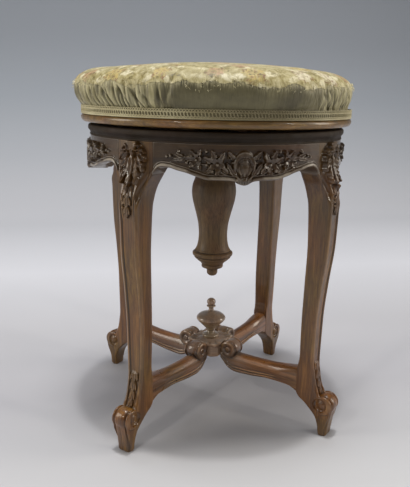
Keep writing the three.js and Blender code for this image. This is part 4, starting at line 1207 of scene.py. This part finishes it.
def silk_brocade():
    """Old figured silk: straw and olive, with a ribbed weave and a satin sheen. The top is
    mottled with faded flowers in rose, ochre and cream, and the sides are plain, duller and
    darker, partly as painted shade, with painted light on their wrinkles and painted shade
    in their gathers."""
    made, node = painted("silk_brocade")
    petal, foliage, outline, warm, top, edge, gathered, sunk = (
        node("Attribute", out="Fac", attribute_name=name)
        for name in ("petal", "foliage", "outline", "warm", "top", "edge", "gathered", "sunk"))
    cloth = node("Attribute", out="Vector", attribute_name="cloth")
    place = node("TexCoord", out="Object")
    # fading 40 mm across, mottling 9 mm, and threads 0.9 mm apart, coarser than the real ones
    fading = node("TexNoise", {"Vector": place, "Scale": 26.0, "Detail": 6.0, "Roughness": 0.6})
    mottle = node("TexNoise", {"Vector": place, "Scale": 110.0, "Detail": 4.0,
                               "Roughness": 0.65, "Distortion": 0.8})
    threads = node("Mapping", {"Vector": cloth, "Scale": (1100, 90, 1)})
    thread = node("TexNoise", {"Vector": threads, "Scale": 1.0, "Detail": 2.0})
    # wrinkles 5 mm apart and 40 mm long where the silk is gathered
    drawn_up = node("Mapping", {"Vector": cloth, "Rotation": (0, 0, 0.25),
                                "Scale": (210, 26, 1)})
    wrinkle = node("TexNoise", {"Vector": drawn_up, "Scale": 1.0, "Detail": 3.0,
                                "Distortion": 0.6})
    crumpled = node("Math", [wrinkle, gathered], operation="MULTIPLY")
    # the sides: a darker silk, darkened further as painted shade, paler along the wrinkles where
    # it is gathered, partly as wear and partly as painted light, and painted shade deep in the
    # gathers
    deep = node("ValToRGB", [fading], [(0.34, "#504a32"), (0.68, "#766f4e")])
    pale_side_tone = node("ValToRGB", [fading], [(0.34, "#a39a70"), (0.68, "#d2c9a0")])
    worn_and_lit_wrinkles = node("MapRange", [crumpled, 0.3, 0.56])
    side_worn_and_lit = node("Mix", {0: worn_and_lit_wrinkles, 6: deep, 7: pale_side_tone}, **MIX_COLOURS)
    painted_fold_shade = node("MapRange", [sunk, 0.25, 0.85, 0.0, 0.75])
    side = node("Mix", {0: painted_fold_shade, 6: side_worn_and_lit, 7: "#3f3a25"}, **MIX_COLOURS)
    # the top: mottled, with leaves, flowers and their outlines
    ground = node("ValToRGB", [mottle], [(0.3, "#625a30"), (0.72, "#d5cba3"), (0.42, "#978953"),
                                         (0.52, "#b3a777"), (0.62, "#c4b98d")])
    bloom = node("ValToRGB", [warm], [(0.0, "#c2ac68"), (1.0, "#e2d8ba"), (0.5, "#b9966f")])
    broken = node("MapRange", [mottle, 0.36, 0.57])
    leaves = node("Math", [foliage, broken], operation="MULTIPLY")
    leafed = node("Mix", {0: leaves, 6: ground, 7: "#e6ddba"}, **MIX_COLOURS)
    some = node("Math", [petal, broken], operation="MULTIPLY")
    flowered = node("Mix", {0: some, 6: leafed, 7: bloom}, **MIX_COLOURS)
    outlined = node("Mix", {0: outline, 6: flowered, 7: "#7d5330"}, **MIX_COLOURS)
    # the ragged lip where the top ends, its frayed threads, and the ribs of the weave
    rough_edge = node("Math", [mottle, 1.3, top], operation="MULTIPLY_ADD")
    lip = node("MapRange", [rough_edge, 1.06, 1.2])
    whole = node("Mix", {0: lip, 6: side, 7: outlined}, **MIX_COLOURS)
    split = node("MapRange", [thread, 0.4, 0.6, 0.0, 0.45])
    frayed = node("Math", [split, edge], operation="MULTIPLY")
    pale = node("Mix", {0: frayed, 6: whole, 7: "#dfd5a8"}, **MIX_COLOURS)
    ribbed = node("MapRange", [thread, 0.3, 0.7, 0.88, 1.06])
    shaded = node("Mix", {0: 1.0, 6: pale, 7: ribbed}, blend_type="MULTIPLY", **MIX_COLOURS)
    step = node("Bump", {"Height": lip, "Strength": 0.7, "Distance": 0.0016})
    folded = node("Bump", {"Height": crumpled, "Strength": 0.8, "Distance": 0.003,
                           "Normal": step})
    relief = node("Bump", {"Height": mottle, "Strength": 0.4, "Distance": 0.0014,
                           "Normal": folded})
    shader = node("BsdfPrincipled", {
        "Base Color": shaded, "Normal": relief, "Roughness": 0.5, "Sheen Weight": 0.25,
        "Sheen Roughness": 0.4, "Sheen Tint": "#efe6c4"})
    node("OutputMaterial", [shader])
    return made


def silk_threads():
    """Broken silk threads: pale straw, dry and dull."""
    made, node = painted("silk_threads")
    place = node("TexCoord", out="Object")
    # one tone for every few threads, 4 mm across
    tone = node("TexNoise", {"Vector": place, "Scale": 250.0, "Detail": 2.0})
    colour = node("ValToRGB", [tone], [(0.35, "#8d8352"), (0.65, "#e2d8ae")])
    shader = node("BsdfPrincipled", {"Base Color": colour, "Roughness": 0.7,
                                     "Sheen Weight": 0.2})
    node("OutputMaterial", [shader])
    return made


def gimp_cotton():
    """Woven gimp: silk over cotton cords, straw and olive, dull, with a tight twist. It is
    painted darker as shade at the front, under the cushion, and on the band behind the loops.
    """
    made, node = painted("gimp_cotton")
    cloth = node("Attribute", out="Vector", attribute_name="cloth")
    # twist 1.1 mm apart, fading 30 mm across
    twist = node("TexWave", {"Vector": cloth, "Scale": 300.0, "Distortion": 1.5, "Detail": 1.0},
                 out="Fac", bands_direction="DIAGONAL")
    fading = node("TexNoise", {"Vector": cloth, "Scale": 35.0, "Detail": 4.0})
    colour = node("ValToRGB", [fading], [(0.3, "#b8ab7e"), (0.7, "#e2d8ae")])
    proud = node("Attribute", out="Fac", attribute_name="proud")
    soil = node("Attribute", out="Fac", attribute_name="soil")
    # painted shade at the front, under the cushion's bulge
    front_shade_share = node("MapRange", [soil, 0.0, 1.0, 0.0, 0.75])
    shade = node("MapRange", [twist, 0.0, 1.0, 0.78, 1.05])
    shaded_in_front = node("Mix", {0: front_shade_share, 6: colour, 7: "#64593e"}, **MIX_COLOURS)
    # painted shade on the band that lies back behind the loops and cords
    soiled = node("Mix", {0: proud, 6: "#6a6143", 7: shaded_in_front}, **MIX_COLOURS)
    shaded = node("Mix", {0: 1.0, 6: soiled, 7: shade}, blend_type="MULTIPLY", **MIX_COLOURS)
    relief = node("Bump", {"Height": twist, "Strength": 0.5, "Distance": 0.0005})
    shader = node("BsdfPrincipled", {"Base Color": shaded, "Normal": relief, "Roughness": 0.8,
                                     "Sheen Weight": 0.2})
    node("OutputMaterial", [shader])
    return made


# The pieces in their places

def dress(piece, finish):
    piece.data.materials.clear()
    piece.data.materials.append(finish)


def settle(piece, finish, body, nodes):
    dress(piece, finish)
    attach(piece, body)
    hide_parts(*nodes)


walnut_leg = walnut("walnut_polished", "#42290f", "#6d4a1c", "#966e32", "#b8946a", polish=0.3,
                    stain_and_shade=0.5, coat=0.45)
# The aprons' walnut is darker than the legs', partly as painted shade under the seat, and its
# pale edge colour paints the highlights on the bead
walnut_deep = walnut("walnut_stained_and_shaded", "#362210", "#583d1d", "#76562d", "#dccdb6", polish=0.3,
                     stain_and_shade=0.5, coat=0.5, rub_and_highlight_strength=1.5)
# The ring's walnut is painted darker, as shade under the seat's overhang
walnut_ring = walnut("walnut_ring", "#1f140a", "#2e2113", "#402e1a", "#604c32", polish=0.6,
                     stain_and_shade=0.5, coat=0.0, gloss=1.38)
# The arms' pale honey and edge tones partly paint the light on their tops
walnut_arm = walnut("walnut_arm", "#50341e", "#886138", "#b48656", "#cfa66c", dust=1.0,
                    polish=0.26, near=0.075, shade=0.62, coat=0.6)
walnut_turned = walnut("walnut_turned", "#432f1e", "#6a4f35", "#836545", "#94754e", dust=0.15,
                       polish=0.5, stain_and_shade=0.35, coat=0.05)
walnut_dusty = walnut("walnut_dusty", "#75624e", "#a28d78", "#bfa78d", "#d9c2a5", dust=1.0,
                      polish=0.32)
walnut_urn = walnut("walnut_urn", "#5c4a3a", "#947b64", "#b89f84", "#dcc3a2", dust=0.9,
                    polish=0.26, coat=0.8)
walnut_edge = walnut("walnut_rubbed", "#46321c", "#74552e", "#987541", "#c09b60", polish=0.3)
silk = silk_brocade()
gimp = gimp_cotton()

for place, leg in make_legs().items():
    settle(leg, walnut_leg, "frame", [f"leg_{place}"])
for place, arm in make_arms().items():
    settle(arm, walnut_arm, "frame", [f"stretcher_arm_{place}"])
for place, apron in make_aprons().items():
    settle(apron, walnut_deep, "frame", [f"apron_{place}"])
for place, quarter in make_ring().items():
    settle(quarter, walnut_ring, "frame", [f"top_ring_{place}"])
settle(make_boss(), walnut_dusty, "frame", ["boss"])
settle(make_urn(), walnut_urn, "frame", ["urn_finial"])
settle(make_pendant(), walnut_turned, "frame", ["pendant"])
settle(make_drop(), walnut_turned, "frame", ["pendant_drop"])
settle(make_seat_board(), walnut_edge, "seat", ["seat_board"])
cover = make_cover()
settle(cover, silk, "seat", ["seat_cover", "seat_stuffing"])
fringe = make_fringe()
dress(fringe, silk_threads())
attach(fringe, "seat")
settle(make_braid(), gimp, "seat", ["gimp_braid"])

# What stays hidden inside
beech, iron, steel = beech_planed(), iron_cast(), steel_greased()
for name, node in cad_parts.items():
    if name in ("screw_nut", "seat_flange"):
        dress(node, iron)
    elif "screw" in name or "washer" in name or name == "flange_pin":
        dress(node, steel)
    elif "dowel" in name or "rail" in name or name == "tacking_board":
        dress(node, beech)


# Floor, backdrop, light and camera

def studio_paper():
    """A pale paper sweep whose colours paint the fall of the light: a painted pale band where it
    curves up, painted shade under and behind the stool, and a wall painted greyer towards its
    top.
    """
    made, node = painted("studio_paper")
    place = node("TexCoord", out="Object")
    away, level = (node("SeparateXYZ", [place], out=axis) for axis in (1, 2))
    back = node("MapRange", [away, -1.0, 1.3])
    # painted light and shade on the floor: darker under and just behind the stool, paler where it
    # curves up
    floor = node("ValToRGB", [back], [(0.3, "#cbccd0"), (1.0, "#b9babf"), (0.44, "#aeaeb4"),
                                      (0.56, "#b6b6bb"), (0.74, "#cbccd2")])
    fade = node("MapRange", [level, 0.0, 1.2])
    # painted fall of light: the wall greys towards its top
    wall = node("ValToRGB", [fade], [(0.02, "#b5b6bb"), (0.9, "#75797f"), (0.16, "#a4a7ad"),
                                     (0.36, "#92979e")])
    which = node("MapRange", [level, 0.0, 0.03])
    colour = node("Mix", {0: which, 6: floor, 7: wall}, **MIX_COLOURS)
    node("OutputMaterial", [node("BsdfPrincipled", {"Base Color": colour, "Roughness": 0.9})])
    return made


# Where the floor ends in front and where its curve starts, the curve's radius and the wall's
# top, in millimetres, and how wide the sweep is, in metres
FLOOR_FRONT, FLOOR_BACK, CURVE, WALL_TOP, SWEEP_WIDTH = -4000, 1300, 700, 3600, 8


def make_sweep():
    """The floor, which rises in a curve to a wall behind the stool."""
    outline = [(FLOOR_FRONT, 0), (FLOOR_BACK, 0)]
    outline += [(FLOOR_BACK + CURVE * math.sin(a), CURVE - CURVE * math.cos(a))
                for a in np.linspace(0, QUARTER, 16)[1:]]
    outline += [(FLOOR_BACK + CURVE, WALL_TOP)]
    sweep = outline_piece("studio_sweep", outline)
    edit(sweep)
    bpy.ops.transform.translate(value=(0, -SWEEP_WIDTH / 2, 0))
    bpy.ops.mesh.extrude_region_move(TRANSFORM_OT_translate={"value": (0, SWEEP_WIDTH, 0)})
    done()
    turn_mesh(sweep, QUARTER)
    soft_shade(sweep, 60)
    dress(sweep, studio_paper())


# Name, place, what it is aimed at, width and height, in metres, then watts and colour
LAMPS = (
    ("lamp_above", (-0.1, -0.25, 3.6), (0, -0.05, 0.3), (0.9, 0.7), 42, "#fffefb"),
    ("lamp_ceiling", (-0.08, -0.3, 5.5), (0, 0, 0.2), (0.2, 0.2), 78, "#fffdf8"),
    ("lamp_left", (-2.2, 0.05, 0.95), (0, 0, 0.25), (0.8, 1.2), 19.5, "#fff9ee"),
    ("lamp_right", (2.2, -0.3, 0.95), (0, 0, 0.25), (0.8, 1.2), 18, "#fff6e8"),
    ("lamp_front_left", (-1.35, -1.45, 1.5), (0, 0, 0.25), (0.17, 0.15), 7, "#fffaf0"),
    ("lamp_front_right", (1.5, -1.2, 1.3), (0, 0, 0.25), (0.17, 0.15), 5.5, "#fff8ec"),
    ("lamp_wall", (0, 0.9, 2.4), (0, 1.7, 0.2), (2.4, 0.6), 18, "#f6f8ff"))


def make_light():
    for name, place, aim, size, watts, colour in LAMPS:
        lamp = bpy.data.lights.new(name, "AREA")
        lamp.shape = "RECTANGLE"
        lamp.size, lamp.size_y = size
        lamp.energy = watts
        lamp.color = linear(colour)[:3]
        holder = linked(name, lamp)
        holder.location = place
        beam = Vector(aim) - Vector(place)
        holder.rotation_euler = beam.to_track_quat("-Z", "Y").to_euler()
    world = bpy.data.worlds.new("studio_air")
    world.use_nodes = True
    world.node_tree.nodes.clear()
    add(world.node_tree, "OutputWorld", [add(world.node_tree, "Background", ["#d9dde6", 0.15])])
    bpy.context.scene.world = world


# The camera's angles, in radians, its distance from the stool's axis and its height, in metres,
# and its focal length on a frame of 36 mm
SWING, YAW, PITCH, ROLL = math.radians(11.324), -0.013, 0.239, 0.021
CAMERA_AWAY, CAMERA_HEIGHT, FOCAL, FILM = 0.880313, 0.456613, 45.31, 36


def make_camera():
    """The photograph's viewpoint: a little left of the front, at seat height, looking down."""
    ahead = Vector((math.sin(YAW) * math.cos(PITCH), math.cos(YAW) * math.cos(PITCH),
                    -math.sin(PITCH)))
    right = Vector((math.cos(YAW), -math.sin(YAW), 0))
    up = right.cross(ahead)
    across = math.cos(ROLL) * right + math.sin(ROLL) * up
    upward = -math.sin(ROLL) * right + math.cos(ROLL) * up
    axes = Matrix((across, upward, -ahead)).transposed()
    lens = bpy.data.cameras.new("studio_camera")
    lens.sensor_fit = "VERTICAL"
    lens.sensor_width = lens.sensor_height = FILM
    lens.lens = FOCAL
    holder = linked("studio_camera", lens)
    holder.matrix_world = (Matrix.Rotation(-SWING, 4, "Z")
                           @ Matrix.Translation((0, -CAMERA_AWAY, CAMERA_HEIGHT))
                           @ axes.to_4x4())
    bpy.context.scene.camera = holder


make_sweep()
make_light()
make_camera()
bpy.context.scene.view_settings.view_transform = "Standard"
